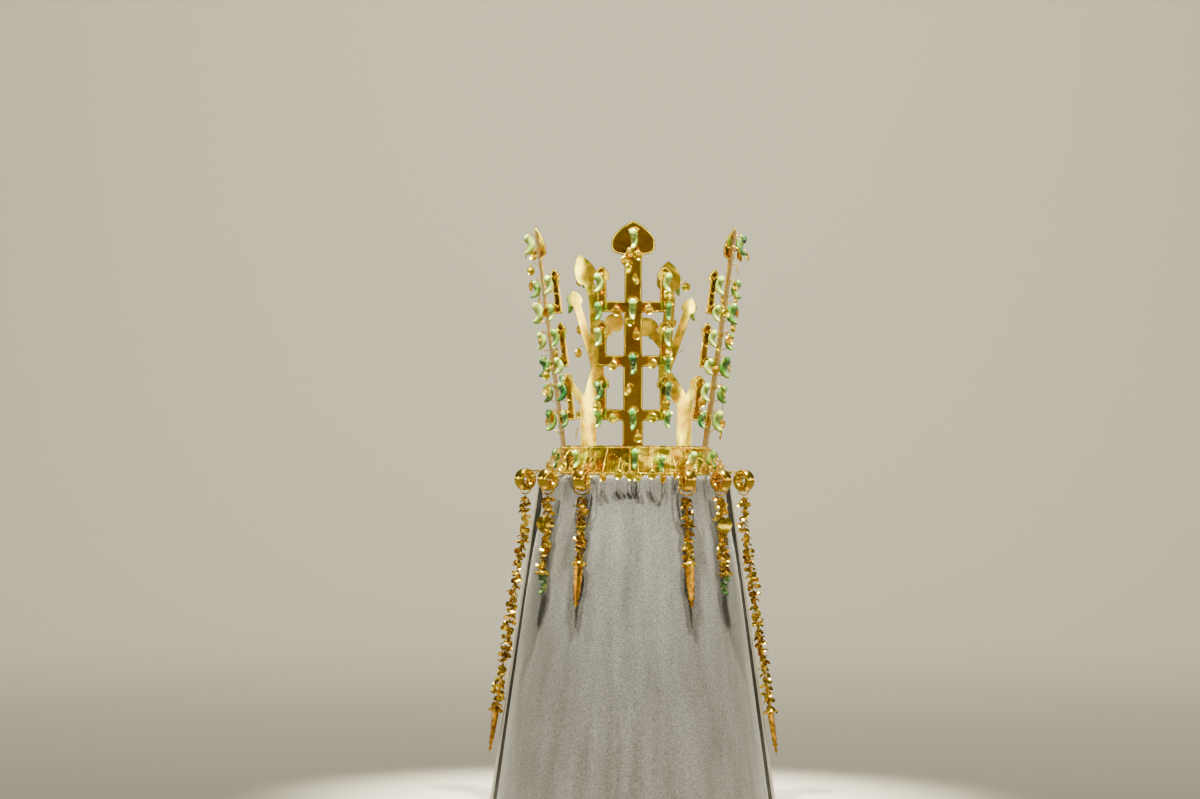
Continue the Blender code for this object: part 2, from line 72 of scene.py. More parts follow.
# Sizes the pieces share with the solids that they stand for
BAND_RADIUS = 0.083
BAND_HEIGHT = 0.032
BAND_WALL = 0.001
BAND_SIDES = 48
STAND_HEIGHT = 0.365
STAND_TOP = 0.1045
STAND_BASE = 0.1585
STAND_DEPTH = 0.85
STAND_EDGE = 0.005
GAP = 0.0003
BAND_BOTTOM = STAND_HEIGHT + GAP
BAND_TOP = BAND_BOTTOM + BAND_HEIGHT
SHEET_RADIUS = BAND_RADIUS * math.cos(math.pi / BAND_SIDES) - BAND_WALL - GAP - 0.0005
LEAN = math.radians(7.6)
SHEET_FOOT = 0.025
SHEET_HEIGHT = (0.273 - BAND_HEIGHT) / math.cos(LEAN)
CROWN_TURN = -1.5
SLOPE = (STAND_BASE - STAND_TOP) / STAND_HEIGHT

TIERS = 3
TIER_FIRST = 0.033
TIER_RISE = 0.0585
ARM_REACH = 0.035
ARM_RISE = 0.028
JADE_STANDOFF = 0.0104
RING_OUTER = 0.0125
RING_HOLE = 0.0045
RING_HALF_THICKNESS = 0.0065
RING_CLEARANCE = 0.003
RING_DROP = 0.005
CHAIN_STANDOFF = 0.0085
LANCE_LENGTH = 0.048
PENDANTS = (
    # place, ellipse angle, length from the ring's centre to the finial's top, finial,
    # turn of the ring, turn of the finial
    ("outer", 90.0, 0.255, "lance", 40.0, 40.0),
    ("middle", 51.5, 0.1015, "jade", 0.0, 0.0),
    ("inner", 28.5, 0.0905, "lance", 0.0, 0.0),
)
ANTLER_HEIGHT = 0.2
UPRIGHTS = (
    # name, azimuth, side of the outer branches, height share, bend inwards and lean of the top bud as shares
    ("front_tree", 0.0, 0, 1.0, 0.0, 0.0),
    ("left_tree", 76.0, 0, 1.0, 0.0, 0.0),
    ("right_tree", -76.0, 0, 1.0, 0.0, 0.0),
    ("left_antler", 137.0, -1, 0.955, 0.07, -0.01),
    ("right_antler", -137.0, 1, 1.0, 0.0, 0.024),
)


def linear(hex_code):
    """An sRGB hex colour as linear red, green, blue and alpha."""
    channels = [int(hex_code[i : i + 2], 16) / 255 for i in (1, 3, 5)]
    return (*[c / 12.92 if c <= 0.04045 else ((c + 0.055) / 1.055) ** 2.4 for c in channels], 1.0)


def turns(count):
    """Angles that go once round in equal steps."""
    return [math.tau * i / count for i in range(count)]


def heading(angle):
    """The level direction at an angle from the front, towards the wearer's left."""
    return Vector((math.sin(angle), -math.cos(angle), 0))


class CrownSizes(bpy.types.PropertyGroup):
    """Sizes of the goldsmith's work."""

    sheet: FloatProperty(
        name="Sheet", description="Thickness of the sheet gold", default=0.0008, unit="LENGTH"
    )
    dent: FloatProperty(
        name="Dents", description="Depth of the sheet's dents", default=0.00035, unit="LENGTH"
    )
    dot: FloatProperty(name="Dot", description="Radius of a punched dot", default=0.0009, unit="LENGTH")
    dot_spacing: FloatProperty(
        name="Dot spacing", description="From dot to dot", default=0.0025, unit="LENGTH"
    )
    border: FloatProperty(
        name="Border", description="From a sheet's edge to its dots", default=0.0013, unit="LENGTH"
    )
    strand: FloatProperty(
        name="Strand", description="Radius of a wire's strand", default=0.00034, unit="LENGTH"
    )
    twist: FloatProperty(
        name="Twist", description="Length of one turn of wire", default=0.0024, unit="LENGTH"
    )
    spangle: FloatProperty(name="Spangle", description="Radius of a gold disc", default=0.0052, unit="LENGTH")
    leaf: FloatProperty(name="Leaf", description="Length of a pendant's leaf", default=0.0071, unit="LENGTH")
    tier: FloatProperty(
        name="Leaf tier", description="From one tier of leaves to the next", default=0.0068, unit="LENGTH"
    )
    leaves: IntProperty(name="Leaves", description="Leaves in a tier", default=5, min=2)


class GoldColours(bpy.types.PropertyGroup):
    """Colours and polish of the gold."""

    # Painted shade: the trees' sheet is a darker, redder copy of the same gold as the band and antlers.
    sheet: FloatVectorProperty(
        name="Sheet",
        description="Sheet gold of the trees",
        default=linear("#EDBA3C"),
        size=4,
        subtype="COLOR",
    )
    # Painted light: a lighter, yellower copy of the gold than the trees' sheet, given to the band and
    # antlers.
    bright: FloatVectorProperty(
        name="Bright",
        description="Yellower gold of the band and antlers",
        default=linear("#FFF03C"),
        size=4,
        subtype="COLOR",
    )
    worn: FloatVectorProperty(
        name="Worn",
        description="Redder gold where the surface is old",
        default=linear("#D3942A"),
        size=4,
        subtype="COLOR",
    )
    pendant: FloatVectorProperty(
        name="Pendant", description="Gold of the pendants", default=linear("#F8D946"), size=4, subtype="COLOR"
    )
    polish: FloatProperty(
        name="Polish", description="Roughness of the sheet gold", default=0.12, subtype="FACTOR"
    )


class JadeColours(bpy.types.PropertyGroup):
    """Colours of the jades."""

    pale: FloatVectorProperty(
        name="Pale", description="Milky green stones", default=linear("#ACC75C"), size=4, subtype="COLOR"
    )
    mid: FloatVectorProperty(
        name="Mid", description="Apple green stones", default=linear("#5A9732"), size=4, subtype="COLOR"
    )
    deep: FloatVectorProperty(
        name="Deep", description="Bottle green stones", default=linear("#1F6128"), size=4, subtype="COLOR"
    )


class StandCloth(bpy.types.PropertyGroup):
    """The cloth over the stand."""

    colour: FloatVectorProperty(
        name="Cloth", description="Dark grey felt", default=linear("#4B4B4D"), size=4, subtype="COLOR"
    )
    # Painted light and shade: the lighter bands that run down the felt.
    shading_streak: FloatVectorProperty(
        name="Streaks",
        description="Where the nap lies the other way",
        default=linear("#5E5E61"),
        size=4,
        subtype="COLOR",
    )
    ripple: FloatProperty(
        name="Ripple", description="Depth of the long soft folds", default=0.0008, unit="LENGTH"
    )


class Stage(bpy.types.PropertyGroup):
    """Floor, light and camera."""

    floor: FloatVectorProperty(
        name="Floor", description="Pale floor", default=linear("#D9D6D0"), size=4, subtype="COLOR"
    )
    spots: FloatProperty(
        name="Spots", description="Power of each small light above the front", default=3.1, unit="POWER"
    )
    sides: FloatProperty(name="Sides", description="Power of each soft box", default=0.35, unit="POWER")
    ceiling: FloatProperty(
        name="Ceiling", description="Power of the broad light overhead", default=30.0, unit="POWER"
    )
    wall: FloatProperty(
        name="Wall", description="Power of the light on the wall behind", default=190.0, unit="POWER"
    )
    lens: FloatProperty(name="Lens", description="Focal length in millimetres", default=95.0)
    distance: FloatProperty(name="Distance", description="From camera to crown", default=3.5, unit="LENGTH")


# Materials


def add_node(tree, kind, links=None, stops=None, **settings):
    """Adds a node. links gives each input a value, or the output socket that feeds it."""
    made = tree.nodes.new(kind)
    for name, value in settings.items():
        setattr(made, name, value)
    for socket, value in (links or {}).items():
        if isinstance(value, bpy.types.NodeSocket):
            tree.links.new(value, made.inputs[socket])
        else:
            made.inputs[socket].default_value = value
    if stops:
        ramp = made.color_ramp.elements
        while len(ramp) < len(stops):
            ramp.new(0.5)
        for element, (place, colour) in zip(ramp, stops):
            element.position = place
            element.color = colour
    return made


def new_material(name):
    material = bpy.data.materials.new(name)
    material.use_nodes = True
    tree = material.node_tree
    return material, tree, tree.nodes["Principled BSDF"]


def grey(value):
    return (value, value, value, 1.0)


def hammered_gold(name, bright, worn, roughness, dent_mm, dent_depth_mm):
    """High-carat sheet gold, beaten and burnished: a soft, uneven mirror with redder, duller old patches."""
    material, tree, shader = new_material(name)
    place = add_node(tree, "ShaderNodeTexCoord").outputs["Object"]
    # Patches of tarnish about 25 mm across
    patches = add_node(
        tree, "ShaderNodeTexNoise", {"Vector": place, "Scale": 1 / 0.025, "Detail": 4.0, "Roughness": 0.6}
    )
    tone = add_node(
        tree,
        "ShaderNodeValToRGB",
        {"Fac": patches.outputs["Fac"]},
        stops=[(0.36, worn), (0.62, bright)],
    )
    # Burnishing scratches, drawn at 0.6 mm where the real ones are finer
    scratches = add_node(tree, "ShaderNodeTexNoise", {"Vector": place, "Scale": 1 / 0.0006, "Detail": 3.0})
    dull = add_node(
        tree,
        "ShaderNodeMapRange",
        {
            "Value": patches.outputs["Fac"],
            "From Min": 0.3,
            "From Max": 0.7,
            "To Min": roughness * 1.5,
            "To Max": roughness * 0.8,
        },
    )
    grit = add_node(
        tree,
        "ShaderNodeMath",
        {0: scratches.outputs["Fac"], 1: 0.04, 2: dull.outputs["Result"]},
        operation="MULTIPLY_ADD",
    )
    # Planishing dents
    dents = add_node(tree, "ShaderNodeTexNoise", {"Vector": place, "Scale": 1000 / dent_mm, "Detail": 1.5})
    large = add_node(
        tree,
        "ShaderNodeBump",
        {"Height": dents.outputs["Fac"], "Distance": dent_depth_mm * MM, "Strength": 1.0},
    )
    fine = add_node(
        tree,
        "ShaderNodeBump",
        {
            "Height": scratches.outputs["Fac"],
            "Normal": large.outputs["Normal"],
            "Distance": 0.00003,
            "Strength": 0.5,
        },
    )
    tree.links.new(tone.outputs["Color"], shader.inputs["Base Color"])
    tree.links.new(grit.outputs["Value"], shader.inputs["Roughness"])
    tree.links.new(fine.outputs["Normal"], shader.inputs["Normal"])
    shader.inputs["Metallic"].default_value = 1.0
    return material


def polished_jade(name, colour, vein):
    """Jade, ground and polished: waxy, lit a little from inside, with milky clouds and dark veins."""
    material, tree, shader = new_material(name)
    place = add_node(tree, "ShaderNodeTexCoord").outputs["Object"]
    # Clouds about 7 mm across
    clouds = add_node(
        tree,
        "ShaderNodeTexNoise",
        {"Vector": place, "Scale": 1 / 0.007, "Detail": 5.0, "Roughness": 0.62, "Distortion": 0.8},
    )
    tone = add_node(
        tree,
        "ShaderNodeValToRGB",
        {"Fac": clouds.outputs["Fac"]},
        stops=[(0.28, vein), (0.5, colour), (0.72, linear("#C2D66E"))],
    )
    # Pits and polishing marks under a millimetre
    marks = add_node(tree, "ShaderNodeTexNoise", {"Vector": place, "Scale": 1 / 0.0009, "Detail": 2.0})
    bump = add_node(
        tree, "ShaderNodeBump", {"Height": marks.outputs["Fac"], "Distance": 0.00004, "Strength": 0.6}
    )
    tree.links.new(tone.outputs["Color"], shader.inputs["Base Color"])
    tree.links.new(bump.outputs["Normal"], shader.inputs["Normal"])
    shader.inputs["Roughness"].default_value = 0.16
    shader.inputs["IOR"].default_value = 1.62
    shader.inputs["Subsurface Weight"].default_value = 0.3
    shader.inputs["Subsurface Radius"].default_value = (0.6, 1.0, 0.5)
    shader.inputs["Subsurface Scale"].default_value = 0.004
    shader.inputs["Coat Weight"].default_value = 0.6
    shader.inputs["Coat Roughness"].default_value = 0.05
    return material


def brushed_felt(name, cloth):
    """Wool felt with a short nap: no shine, pale at the edges, with lint, and painted light and shade in long
    bands down the form.
    """
    material, tree, shader = new_material(name)
    place = add_node(tree, "ShaderNodeTexCoord").outputs["Object"]
    # Painted light and shade in bands down the form: about 18 mm wide and 250 mm long
    long_way = add_node(tree, "ShaderNodeMapping", {"Vector": place, "Scale": (55.0, 55.0, 4.0)})
    streaks = add_node(
        tree, "ShaderNodeTexNoise", {"Vector": long_way.outputs["Vector"], "Scale": 1.0, "Detail": 3.0}
    )
    tone = add_node(
        tree,
        "ShaderNodeValToRGB",
        {"Fac": streaks.outputs["Fac"]},
        stops=[(0.32, cloth.colour), (0.7, cloth.shading_streak)],
    )
    # Fibres, drawn at 1.8 mm where the real nap is finer
    fibres = add_node(
        tree, "ShaderNodeTexNoise", {"Vector": place, "Scale": 1 / 0.0018, "Detail": 3.0, "Roughness": 0.8}
    )
    grain = add_node(
        tree,
        "ShaderNodeMapRange",
        {"Value": fibres.outputs["Fac"], "From Min": 0.3, "From Max": 0.7, "To Min": 0.45, "To Max": 1.6},
    )
    speckled = add_node(
        tree,
        "ShaderNodeVectorMath",
        {0: tone.outputs["Color"], "Scale": grain.outputs["Result"]},
        operation="SCALE",
    )
    # Specks of pale lint, a few to the square centimetre
    lint = add_node(tree, "ShaderNodeTexVoronoi", {"Vector": place, "Scale": 1 / 0.007})
    speck = add_node(
        tree,
        "ShaderNodeMapRange",
        {
            "Value": lint.outputs["Distance"],
            "From Min": 0.05,
            "From Max": 0.075,
            "To Min": 0.55,
            "To Max": 0.0,
        },
    )
    coat = add_node(
        tree,
        "ShaderNodeMix",
        {"Factor": speck.outputs["Result"], "A": speckled.outputs["Vector"], "B": linear("#A39E97")},
        data_type="RGBA",
    )
    bump = add_node(
        tree, "ShaderNodeBump", {"Height": fibres.outputs["Fac"], "Distance": 0.0004, "Strength": 0.7}
    )
    tree.links.new(coat.outputs["Result"], shader.inputs["Base Color"])
    tree.links.new(bump.outputs["Normal"], shader.inputs["Normal"])
    shader.inputs["Roughness"].default_value = 0.95
    shader.inputs["Specular IOR Level"].default_value = 0.15
    shader.inputs["Sheen Weight"].default_value = 0.12
    shader.inputs["Sheen Roughness"].default_value = 0.45
    return material


def painted_board(name):
    """Near-black board, painted dark as the shade in the gap beside the steel edging: smooth, with a dull
    shine and faint dust.
    """
    material, tree, shader = new_material(name)
    place = add_node(tree, "ShaderNodeTexCoord").outputs["Object"]
    dust = add_node(tree, "ShaderNodeTexNoise", {"Vector": place, "Scale": 1 / 0.003, "Detail": 3.0})
    tone = add_node(
        tree,
        "ShaderNodeValToRGB",
        {"Fac": dust.outputs["Fac"]},
        stops=[(0.45, linear("#131313")), (0.8, linear("#2C2B2A"))],
    )
    tree.links.new(tone.outputs["Color"], shader.inputs["Base Color"])
    shader.inputs["Roughness"].default_value = 0.45
    return material


def satin_steel(name):
    """Thin steel edging, brushed along its length: a pale streaky gleam."""
    material, tree, shader = new_material(name)
    place = add_node(tree, "ShaderNodeTexCoord").outputs["Object"]
    # Brush marks 0.4 mm wide and 80 mm long
    long_way = add_node(tree, "ShaderNodeMapping", {"Vector": place, "Scale": (2500.0, 2500.0, 12.0)})
    marks = add_node(
        tree, "ShaderNodeTexNoise", {"Vector": long_way.outputs["Vector"], "Scale": 1.0, "Detail": 2.0}
    )
    rough = add_node(
        tree, "ShaderNodeMapRange", {"Value": marks.outputs["Fac"], "To Min": 0.25, "To Max": 0.45}
    )
    tree.links.new(rough.outputs["Result"], shader.inputs["Roughness"])
    shader.inputs["Base Color"].default_value = linear("#D5D4D1")
    shader.inputs["Metallic"].default_value = 1.0
    return material


def painted_floor(name, colour):
    """Matt painted board: even and pale."""
    material, _, shader = new_material(name)
    shader.inputs["Base Color"].default_value = colour
    shader.inputs["Roughness"].default_value = 0.75
    return material


materials = {}


def get_material(name):
    """Makes each finish once, from the scene's colours."""
    if name in materials:
        return materials[name]
    scene = bpy.context.scene
    gold, jade = scene.crown_gold, scene.crown_jade
    finishes = {
        # gold: its colour, its colour in old patches, roughness, width and depth of its dents in millimetres
        # Painted light and shade: the trees' sheet gold is a darker copy for shade, and the band's and
        # antlers' gold a lighter, yellower copy for light, with lighter old patches on the antlers.
        "burnished_sheet_gold": (hammered_gold, gold.sheet, gold.worn, gold.polish, 9.0, 0.5),
        "drawn_gold_wire": (hammered_gold, gold.bright, gold.worn, 0.3, 3.0, 0.1),
        "beaten_pendant_gold": (hammered_gold, gold.pendant, linear("#B78A24"), 0.14, 4.0, 0.2),
        "polished_ring_gold": (hammered_gold, gold.pendant, linear("#E2A838"), 0.12, 12.0, 0.12),
        "wrinkled_band_gold": (hammered_gold, gold.bright, linear("#D89626"), 0.14, 17.0, 1.3),
        "beaten_antler_gold": (hammered_gold, gold.bright, linear("#F0BC38"), 0.17, 24.0, 1.6),
        # Painted shade: the blades' gold and its old patches are darker, browner copies of the gold.
        "red_gold_blade": (hammered_gold, linear("#DDA630"), linear("#8C5A14"), 0.2, 9.0, 0.9),
        "punched_gold": (hammered_gold, gold.bright, gold.pendant, 0.42, 3.0, 0.05),
        "spangle_gold": (hammered_gold, gold.bright, linear("#E8B234"), 0.2, 3.0, 0.12),
        # jade: its colour and its veins' colour
        "milky_jade": (polished_jade, jade.pale, jade.mid),
        "apple_green_jade": (polished_jade, jade.mid, jade.deep),
        "bottle_green_jade": (polished_jade, jade.deep, linear("#0E3A27")),
        "dark_wool_felt": (brushed_felt, scene.crown_cloth),
        "black_board": (painted_board,),
        "satin_steel": (satin_steel,),
        "painted_floor": (painted_floor, scene.crown_stage.floor),
    }
    make, *settings = finishes[name]
    materials[name] = make(name, *settings)
    return materials[name]


# Building blocks

SPANGLE_SHEET = 0.00022
LEAF_SHEET = 0.0002


def make_piece(name, bm, material, nodes=(), sharp=35.0):
    """One smooth-shaded object from a mesh in progress. It takes the named solids' place."""
    bmesh.ops.recalc_face_normals(bm, faces=bm.faces)
    mesh = bpy.data.meshes.new(name)
    bm.to_mesh(mesh)
    bm.free()
    mesh.polygons.foreach_set("use_smooth", [True] * len(mesh.polygons))
    mesh.set_sharp_from_angle(angle=math.radians(sharp))
    mesh.materials.append(get_material(material))
    piece = bpy.data.objects.new(name, mesh)
    bpy.context.scene.collection.objects.link(piece)
    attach(piece, "root")
    if nodes:
        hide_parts(*nodes)
    return piece


def smooth_path(points, step):
    """Points at about the given step along a smooth curve through the given points."""
    ends = [points[0] * 2 - points[1], *points, points[-1] * 2 - points[-2]]
    path = []
    for a, b, c, d in zip(ends, ends[1:], ends[2:], ends[3:]):
        count = max(2, round((c - b).length / step))
        for index in range(count):
            t = index / count
            path.append(
                0.5 * (
                    2 * b + (c - a) * t + (2 * a - 5 * b + 4 * c - d) * t * t + (3 * b - a - 3 * c + d) * t**3
                )
            )
    return [*path, points[-1]]


def path_frames(path, closed=False):
    """A side and an up direction at each point, turning as little as they can."""
    frames = []
    count = len(path)
    side = None
    for index in range(count):
        before = path[index - 1] if closed or index else path[index]
        after = path[(index + 1) % count] if closed or index < count - 1 else path[index]
        along = (after - before).normalized()
        if side is None:
            side = along.orthogonal()
        side = (side - along * side.dot(along)).normalized()
        frames.append((side, along.cross(side)))
    return frames


def add_skin(bm, low, high):
    """Faces all round between two rings of vertices."""
    for face in zip(low, low[1:] + low[:1], high[1:] + high[:1], high):
        bm.faces.new(face)


def add_rings(bm, rings, closed=False):
    """Skins rows of points that go round a tube. Unless it is closed on itself, its ends are capped."""
    rows = [[bm.verts.new(point) for point in ring] for ring in rings]
    for low, high in zip(rows, rows[1:]):
        add_skin(bm, low, high)
    if closed:
        add_skin(bm, rows[-1], rows[0])
    else:
        bm.faces.new(rows[0][::-1])
        bm.faces.new(rows[-1])


def add_tube(bm, path, radius, sides, closed=False):
    """A round bar."""
    rings = [
        [point + side * math.cos(a) * radius + up * math.sin(a) * radius for a in turns(sides)]
        for point, (side, up) in zip(path, path_frames(path, closed))
    ]
    add_rings(bm, rings, closed)


def add_twisted_wire(bm, points, sizes):
    """Two strands wound round each other along a smooth curve."""
    path = smooth_path(points, sizes.twist / 6)
    frames = path_frames(path)
    gone = 0.0
    strands = ([], [])
    for index, (point, (side, up)) in enumerate(zip(path, frames)):
        if index:
            gone += (point - path[index - 1]).length
        angle = math.tau * gone / sizes.twist
        offset = (side * math.cos(angle) + up * math.sin(angle)) * sizes.strand * 0.9
        strands[0].append(point + offset)
        strands[1].append(point - offset)
    for strand in strands:
        add_tube(bm, strand, sizes.strand, 4)


def add_lathe(bm, profile, matrix, steps=24):
    """Turns (radius, height) pairs round the matrix's Z axis. The ends close where the radius is zero."""
    rings = [
        [matrix @ Vector((r * math.cos(a), r * math.sin(a), z)) for a in turns(steps)]
        for r, z in profile
        if r > 0
    ]
    rows = [[bm.verts.new(point) for point in ring] for ring in rings]
    for low, high in zip(rows, rows[1:]):
        add_skin(bm, low, high)
    for row, (r, z), flip in ((rows[0], profile[0], True), (rows[-1], profile[-1], False)):
        if r > 0:
            bm.faces.new(row[::-1] if flip else row)
        else:
            tip = bm.verts.new(matrix @ Vector((0, 0, z)))
            for i in range(steps):
                pair = (row[(i + 1) % steps], row[i]) if flip else (row[i], row[(i + 1) % steps])
                bm.faces.new((*pair, tip))


def facing(place, direction):
    """A frame at place whose Z axis points in the direction."""
    z = direction.normalized()
    x = Vector((0, 0, 1)).cross(z)
    x = x.normalized() if x.length > 1e-6 else z.orthogonal().normalized()
    y = z.cross(x)
    return Matrix.Translation(place) @ Matrix((x, y, z)).transposed().to_4x4()


def add_bead(bm, matrix, radius):
    """A small ball, or a granule."""
    bmesh.ops.create_icosphere(bm, subdivisions=2, radius=radius, matrix=matrix)


def add_dot(bm, place, out, radius):
    """A dot punched from behind: a low dome rooted in the sheet."""
    profile = [(radius, -0.0002), (radius * 0.7, radius * 0.5), (0, radius * 0.8)]
    add_lathe(bm, profile, facing(place, out), 7)


def add_spangle(bm, matrix, sizes):
    """A thin domed disc with a turned rim. Its face is the matrix's Z."""
    r = sizes.spangle
    front = [
        (0, 0.0005), (r * 0.35, 0.00045), (r * 0.6, 0.0002), (r * 0.76, 0), (r * 0.88, 0.0006), (r, 0.0002)
    ]
    add_lathe(bm, front + [(x, z - SPANGLE_SHEET) for x, z in front[::-1]], matrix, 20)


def add_leaf(bm, matrix, length, width, cup):
    """A beaten leaf, creased down its middle. It hangs along the matrix's -Y from its stalk at the origin."""
    shares = ((0.0, 0.24), (0.14, 0.74), (0.38, 1.0), (0.64, 0.94), (0.86, 0.6), (1.0, 0.1))
    rings = []
    for share, spread in shares:
        half = width / 2 * spread
        bow = cup * math.sin(math.pi * share)
        y = -share * length
        row = [(-half, bow - cup * 0.9 * spread), (0, bow), (half, bow - cup * 0.9 * spread)]
        ring = [Vector((x, y, z)) for x, z in row] + [Vector((x, y, z - LEAF_SHEET)) for x, z in row[::-1]]
        rings.append([matrix @ point for point in ring])
    add_rings(bm, rings)


# The uprights' outlines, as on the solids but with finer curves


def bud_outline(base, way, width, height, stem_half):
    """The edge of a bud at the end of a strip, from its stem's right side to its left side."""
    steps = 10
    along = way.normalized()
    right = Vector((along.y, -along.x))
    lobe = height * 0.29
    profile = [(stem_half, 0.0)]
    for step in range(1, steps):
        share = step / steps
        side = (1 - (1 - share) ** 3) ** (1 / 3) * width / 2
        if side > stem_half:
            profile.append((side, share * lobe))
    profile += [
        ((1 - (step / (steps + 1)) ** 2.2) * width / 2, lobe + step / (steps + 1) * (height - lobe))
        for step in range(steps + 1)
    ]
    going_up = [base + right * side + along * rise for side, rise in profile]
    coming_down = [base - right * side + along * rise for side, rise in reversed(profile)]
    return [*going_up, base + along * height, *coming_down]


def corner(point, first_way, first_side, second_way, second_side):
    """Where the edges of two strips meet at a joint."""
    first, second = first_way.normalized(), second_way.normalized()
    a = point + Vector((first.y, -first.x)) * first_side
    b = point + Vector((second.y, -second.x)) * second_side
    cross = first.x * second.y - first.y * second.x
    if abs(cross) < 1e-4:
        return (a + b) / 2
    return a + first * (((b - a).x * second.y - (b - a).y * second.x) / cross)


def strip(point, half, branches=(), bud=None):
    """One joint of a branching sheet: its place, half the width of the strip to it, and what comes after."""
    return {"at": Vector(point), "half": half, "branches": branches, "bud": bud}


def walk_outline(start, joint):
    """The outline beyond start, going up and down each branch in turn."""
    way = joint["at"] - start
    if joint["bud"]:
        return bud_outline(joint["at"], way, *joint["bud"], joint["half"])
    points = []
    last_way, last_side = way, joint["half"]
    ordered = sorted(
        joint["branches"], key=lambda each: way.angle_signed(each["at"] - joint["at"]), reverse=True
    )
    for branch in ordered:
        branch_way = branch["at"] - joint["at"]
        points.append(corner(joint["at"], last_way, last_side, branch_way, branch["half"]))
        points += walk_outline(joint["at"], branch)
        last_way, last_side = branch_way, -branch["half"]
    return [*points, corner(joint["at"], last_way, last_side, way, -joint["half"])]


def tree_outline():
    """A trunk with crossbars whose ends turn up."""
    joint = strip((0, SHEET_HEIGHT - 0.0375), 0.0094, bud=(0.048, 0.0375))
    for tier in reversed(range(TIERS)):
        height = TIER_FIRST + tier * TIER_RISE
        arms = []
        for side in (-1, 1):
            tip = strip((side * ARM_REACH, height + ARM_RISE), 0.0057, bud=(0.018, 0.0155))
            arms.append(strip((side * ARM_REACH, height), 0.0062, [tip]))
        joint = strip((0, height), 0.0112 - 0.0018 * tier / TIERS, [*arms, joint])
    return close_outline(joint)


def antler_point(side, lift, sway, out, height):
    """A point of an antler's sheet, given as shares of the antler's height."""
    return (side * (out - sway) * ANTLER_HEIGHT, height * lift * ANTLER_HEIGHT)


def antler_outline(side, lift, sway, tip_out):
    """An antler: side is 1 where its outer branches go towards +u."""

    def at(out, height):
        return antler_point(side, lift, sway, out, height)

    top = strip(at(-0.125 + tip_out, 0.935), 0.0064, bud=(0.028, 0.034))
    neck = strip(at(-0.125, 0.86), 0.0064, [top])
    inner = strip(at(-0.2075, 0.6725), 0.0052, bud=(0.022, 0.022))
    third = strip(at(-0.12, 0.5775), 0.0075, [neck, inner])
    outer_high = strip(at(-0.01, 0.805), 0.0052, bud=(0.019, 0.017))
    second = strip(at(-0.1125, 0.423), 0.0088, [third, outer_high])
    outer_low = strip(at(0.0925, 0.345), 0.0058, bud=(0.019, 0.017))
    return close_outline(strip((side * -0.006, 0.046), 0.0108, [second, outer_low]))


def close_outline(joint):
    """The whole outline above the foot, without points that nearly meet."""
    foot = Vector((0, -SHEET_FOOT))
    way = (joint["at"] - foot).normalized()
    right = Vector((way.y, -way.x)) * joint["half"]
    points = [foot + right, *walk_outline(foot, joint), foot - right]
    kept = points[:1]
    for point in points[1:]:
        if (point - kept[-1]).length > 3e-4:
            kept.append(point)
    return kept


def on_sheet(u, v, out=0.0):
    """A point of an upright in its own frame: -Y is outwards and z = 0 is the band's top edge."""
    turn = u / SHEET_RADIUS
    side = (SHEET_RADIUS + out) * math.sin(turn)
    forward = (SHEET_RADIUS + out) * math.cos(turn) - SHEET_RADIUS
    if v <= 0:
        return Vector((side, -forward, v))
    away = forward * math.cos(LEAN) + v * math.sin(LEAN)
    return Vector((side, -away, v * math.cos(LEAN) - forward * math.sin(LEAN)))


def outwards(u):
    """The direction straight out of an upright's sheet, in the upright's own frame."""
    return heading(u / SHEET_RADIUS)


def upright_place(azimuth):
    """The frame of an upright, at the band's top edge."""
    turn = math.radians(azimuth + CROWN_TURN)
    root = Vector((SHEET_RADIUS * math.sin(turn), -SHEET_RADIUS * math.cos(turn), BAND_TOP))
    return Matrix.Translation(root) @ Matrix.Rotation(turn, 4, "Z")


def edge_dots(outline, border, spacing):
    """Places for punched dots along a closed outline, clear of every edge and of each other."""
    segments = list(zip(outline, outline[1:] + outline[:1]))
    dots = []
    carried = 0.0
    for a, b in segments:
        along = b - a
        length = along.length
        inwards = Vector((-along.y, along.x)) / length
        while carried < length:
            dot = a + along * (carried / length) + inwards * border
            clear = all((dot - other).length > spacing * 0.8 for other in dots[-40:])
            clear = clear and all((dot - other).length > spacing * 0.8 for other in dots[:6])
            if clear and all(distance_to(dot, c, d) > border * 0.93 for c, d in segments):
                dots.append(dot)
            carried += spacing / 4 if not clear else spacing
        carried -= length
    return dots


def distance_to(point, a, b):
    """How far a point is from the line between two others."""
    along = b - a
    share = min(1.0, max(0.0, (point - a).dot(along) / along.length_squared))
    return (point - a - along * share).length


def dent_at(u, v, sizes, seed):
    """How far the sheet is dented at a point. Its foot is flat, where it lies against the band."""
    fade = min(1.0, max(0.0, (v + 0.005) / 0.03))
    return noise.noise(Vector((u * 70, v * 55, seed))) * sizes.dent * fade


